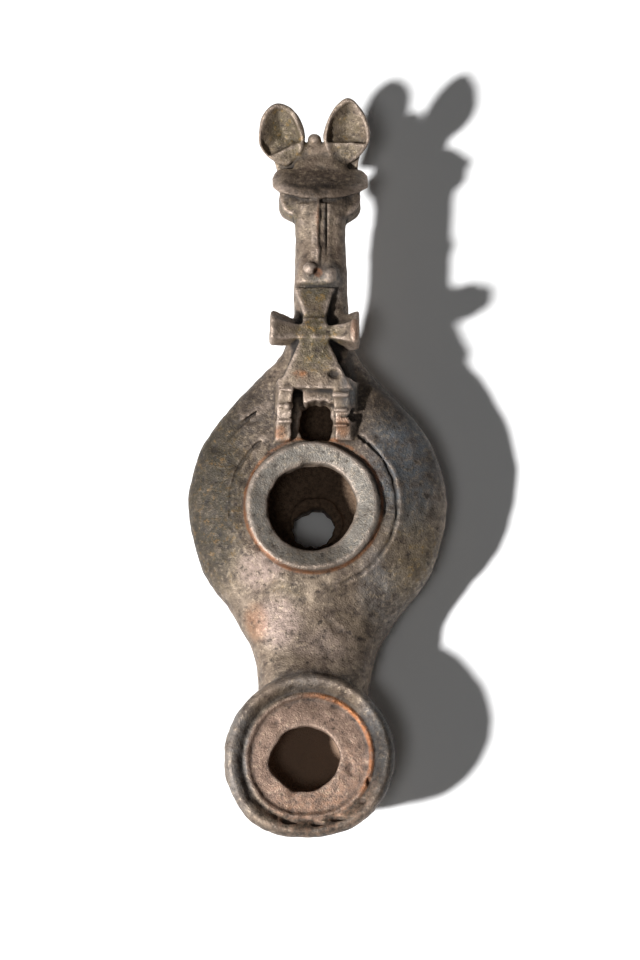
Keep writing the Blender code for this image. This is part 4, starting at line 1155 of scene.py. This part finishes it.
def patinated_bronze():
    """Cast leaded bronze under a thin brown-grey patina with olive and slate mottling.

    It gives the eye a dull, worn skin: grey-brown over all, greener on the left flank and the
    ears, bluer on the right, with rubbed pale edges, dark crust and painted shade in the hollows
    and thin lines of bare copper. Painted shade also darkens patches that face the light, painted
    pink highlights lie on the front of the shoulder, and the inside is lightened as painted light.
    """
    material = bpy.data.materials.new("patinated_cast_bronze")
    material.use_nodes = True
    tree = material.node_tree
    shader = tree.nodes["Principled BSDF"]
    place = add_node(tree, "ShaderNodeTexCoord").outputs["Object"]

    def noise(size_mm, detail=3.0, roughness=0.55):
        return add_node(tree, "ShaderNodeTexNoise", {
            "Vector": place, "Scale": 1.0 / (size_mm * MM), "Detail": detail,
            "Roughness": roughness,
        }).outputs["Fac"]

    def spread(value, low, high, start=0.0, end=1.0):
        return add_node(tree, "ShaderNodeMapRange", {
            "Value": value, "From Min": low, "From Max": high, "To Min": start, "To Max": end,
        }).outputs["Result"]

    def mixed(share, a, b, blend="MIX"):
        return add_node(
            tree, "ShaderNodeMix", {0: share, 6: a, 7: b}, data_type="RGBA", blend_type=blend
        ).outputs[2]

    def math_node(operation, a, b, clamp=True):
        return add_node(
            tree, "ShaderNodeMath", {0: a, 1: b}, operation=operation, use_clamp=clamp
        ).outputs[0]

    def times(a, b):
        return math_node("MULTIPLY", a, b)

    def map_named(name):
        return add_node(tree, "ShaderNodeAttribute", attribute_name=name).outputs["Fac"]

    cloud, mottle, speckle = noise(9.0), noise(2.6, 4.0), noise(0.75, 4.0, 0.65)
    grain, flecks = noise(0.3, 3.0), noise(1.3, 5.0, 0.7)
    shares = {}
    colour = mixed(spread(mottle, 0.36, 0.62), linear("#4E4238"), linear("#807161"))
    # Each layer over the last: its wear map, the texture that breaks it up and that texture's
    # range, the layer's share at the two ends of the range, and its colour
    for name, texture, low, high, start, end, tint in (
        ("", cloud, 0.42, 0.62, 0.0, 0.55, "#665548"),
        # Umber patina and painted shade: dark brown over the spots of the map.
        ("umber_and_painted_shade", speckle, 0.3, 0.62, 0.95, 0.35, "#3B3029"),
        ("slate", mottle, 0.34, 0.58, 0.2, 0.9, "#555B61"),
        ("olive", flecks, 0.36, 0.56, 0.25, 0.95, "#4C4530"),
        ("olive", flecks, 0.56, 0.66, 0.0, 1.0, "#8A6C3C"),
        ("dish", speckle, 0.3, 0.6, 0.5, 1.0, "#836A5C"),
        ("coarse", flecks, 0.46, 0.62, 0.0, 1.0, "#9C7B66"),
        # Painted highlight: a pale pink tone where the key light's glint falls.
        ("painted_highlight", flecks, 0.36, 0.6, 0.3, 1.0, "#96837A"),
        ("pale", mottle, 0.3, 0.6, 0.6, 1.0, "#757069"),
        ("", speckle, 0.52, 0.68, 0.0, 0.4, "#AD9B83"),
        ("", flecks, 0.44, 0.33, 0.0, 0.75, "#231C17"),
        ("", grain, 0.42, 0.3, 0.0, 0.5, "#2B241F"),
        ("edge_wear", speckle, 0.35, 0.6, 0.35, 0.9, "#A8978A"),
        ("copper", flecks, 0.34, 0.52, 0.25, 0.9, "#96603A"),
    ):
        share = spread(texture, low, high, start, end)
        shares[name] = times(map_named(name), share) if name else share
        colour = mixed(shares[name], colour, linear(tint))
    # Painted shade and thicker patina film: the colour is darkened where the map lies.
    colour = mixed(map_named("film_and_painted_shade"), colour, linear("#877D70"), "MULTIPLY")
    crevice_crust_and_shade, soot_and_painted_light = map_named("crevice_crust_and_shade"), map_named("soot_and_painted_light")
    # Hollows darkened: crust and painted shade.
    colour = mixed(crevice_crust_and_shade, colour, linear("#1E1814"))
    # Inside colour: soot made a lighter brown as painted light, standing in for light that falls in
    # through the holes.
    soot_with_painted_light = mixed(spread(speckle, 0.35, 0.65), linear("#54402F"), linear("#7A6450"))
    # Painted light on the nozzle bowl's floor.
    soot_with_painted_light = mixed(map_named("painted_light_nozzle_floor"), soot_with_painted_light, linear("#8E7460"))
    colour = mixed(soot_and_painted_light, colour, soot_with_painted_light)

    rough = spread(speckle, 0.35, 0.65, 0.66, 0.5)
    for dull in (crevice_crust_and_shade, soot_and_painted_light):
        rough = mixed(dull, rough, (0.85, 0.85, 0.85, 1.0))
    # The patina is half metal to the light, more where it is rubbed and none in the soot
    metal = math_node("ADD", times(shares["edge_wear"], 0.3), times(shares["copper"], 0.35))
    metal = math_node("ADD", metal, 0.5)
    for name, least in (("umber_and_painted_shade", 0.5), ("crevice_crust_and_shade", 0.2), ("soot_and_painted_light", 0.0)):
        metal = times(metal, spread(map_named(name), 0.0, 1.0, 1.0, least))
    heights = math_node("ADD", math_node("ADD", speckle, grain, False), flecks, False)
    bump = add_node(tree, "ShaderNodeBump", {
        "Height": heights, "Strength": 0.6, "Distance": 0.22 * MM,
    })
    for socket, value in {
        "Base Color": colour, "Roughness": rough, "Metallic": metal, "Normal": bump.outputs[0],
    }.items():
        tree.links.new(value, shader.inputs[socket])
    return material


def studio():
    """A plain white table, a key light from the front left, a soft one overhead, a dim room."""
    scene = bpy.context.scene
    mesh = bpy.data.meshes.new("studio_floor")
    around = ((-1, -1), (1, -1), (1, 1), (-1, 1))
    corners = [(FLOOR_REACH * x, FLOOR_REACH * y, 0) for x, y in around]
    mesh.from_pydata(corners, [], [(0, 1, 2, 3)])
    floor = bpy.data.objects.new("studio_floor", mesh)
    scene.collection.objects.link(floor)
    paper = bpy.data.materials.new("white_card")
    paper.use_nodes = True
    shader = paper.node_tree.nodes["Principled BSDF"]
    shader.inputs["Base Color"].default_value = linear("#F0F0F0")
    shader.inputs["Roughness"].default_value = 0.9
    mesh.materials.append(paper)

    aim = ORIGIN + Vector((0, 5, 15)) * MM
    for name, size, watts, place in (
        ("key_light", 0.09, 34.0, (-780, -405, 870)),
        ("overhead_light", 0.2, 1.25, (-150, -290, 1075)),
    ):
        lamp = bpy.data.objects.new(name, bpy.data.lights.new(name, "AREA"))
        lamp.data.shape = "DISK"
        lamp.data.size = size
        lamp.data.energy = watts
        lamp.location = ORIGIN + Vector(place) * MM
        lamp.rotation_mode = "QUATERNION"
        lamp.rotation_quaternion = (aim - lamp.location).to_track_quat("-Z", "Y")
        scene.collection.objects.link(lamp)

    world = bpy.data.worlds.new("studio_surround")
    scene.world = world
    world.use_nodes = True
    tree = world.node_tree
    tree.nodes.clear()
    dim, pale = (
        add_node(tree, "ShaderNodeBackground", {"Color": linear("#FFFFFF"), "Strength": strength})
        for strength in (0.045, 1.0)
    )
    rays = tree.nodes.new("ShaderNodeLightPath")
    both = add_node(tree, "ShaderNodeMixShader", {
        0: rays.outputs["Is Camera Ray"], 1: dim.outputs[0], 2: pale.outputs[0],
    })
    add_node(tree, "ShaderNodeOutputWorld", {"Surface": both.outputs[0]})
    scene.view_settings.view_transform = "Standard"


def photo_camera():
    """The photograph's view: from above, tipped a little towards the spout."""
    target = ORIGIN + Vector(CAMERA_TARGET) * MM
    back = Vector((0.0, -math.cos(CAMERA_ELEVATION), math.sin(CAMERA_ELEVATION)))
    camera = bpy.data.objects.new("photo_camera", bpy.data.cameras.new("photo_camera"))
    camera.data.lens = CAMERA_LENS
    camera.data.sensor_width = 36.0
    camera.location = target + back * CAMERA_DISTANCE * MM
    camera.rotation_mode = "QUATERNION"
    camera.rotation_quaternion = (-back).to_track_quat("-Z", "Y")
    bpy.context.scene.collection.objects.link(camera)
    bpy.context.scene.camera = camera


photo_camera()
studio()
bronze = patinated_bronze()
block = cast_lamp(bronze)
open_holes(block)
age(block)
lamp = lamp_skin(block, bronze)
wear_and_painted_light_maps(block, lamp)
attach(lamp, "root")
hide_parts("lamp_casting")
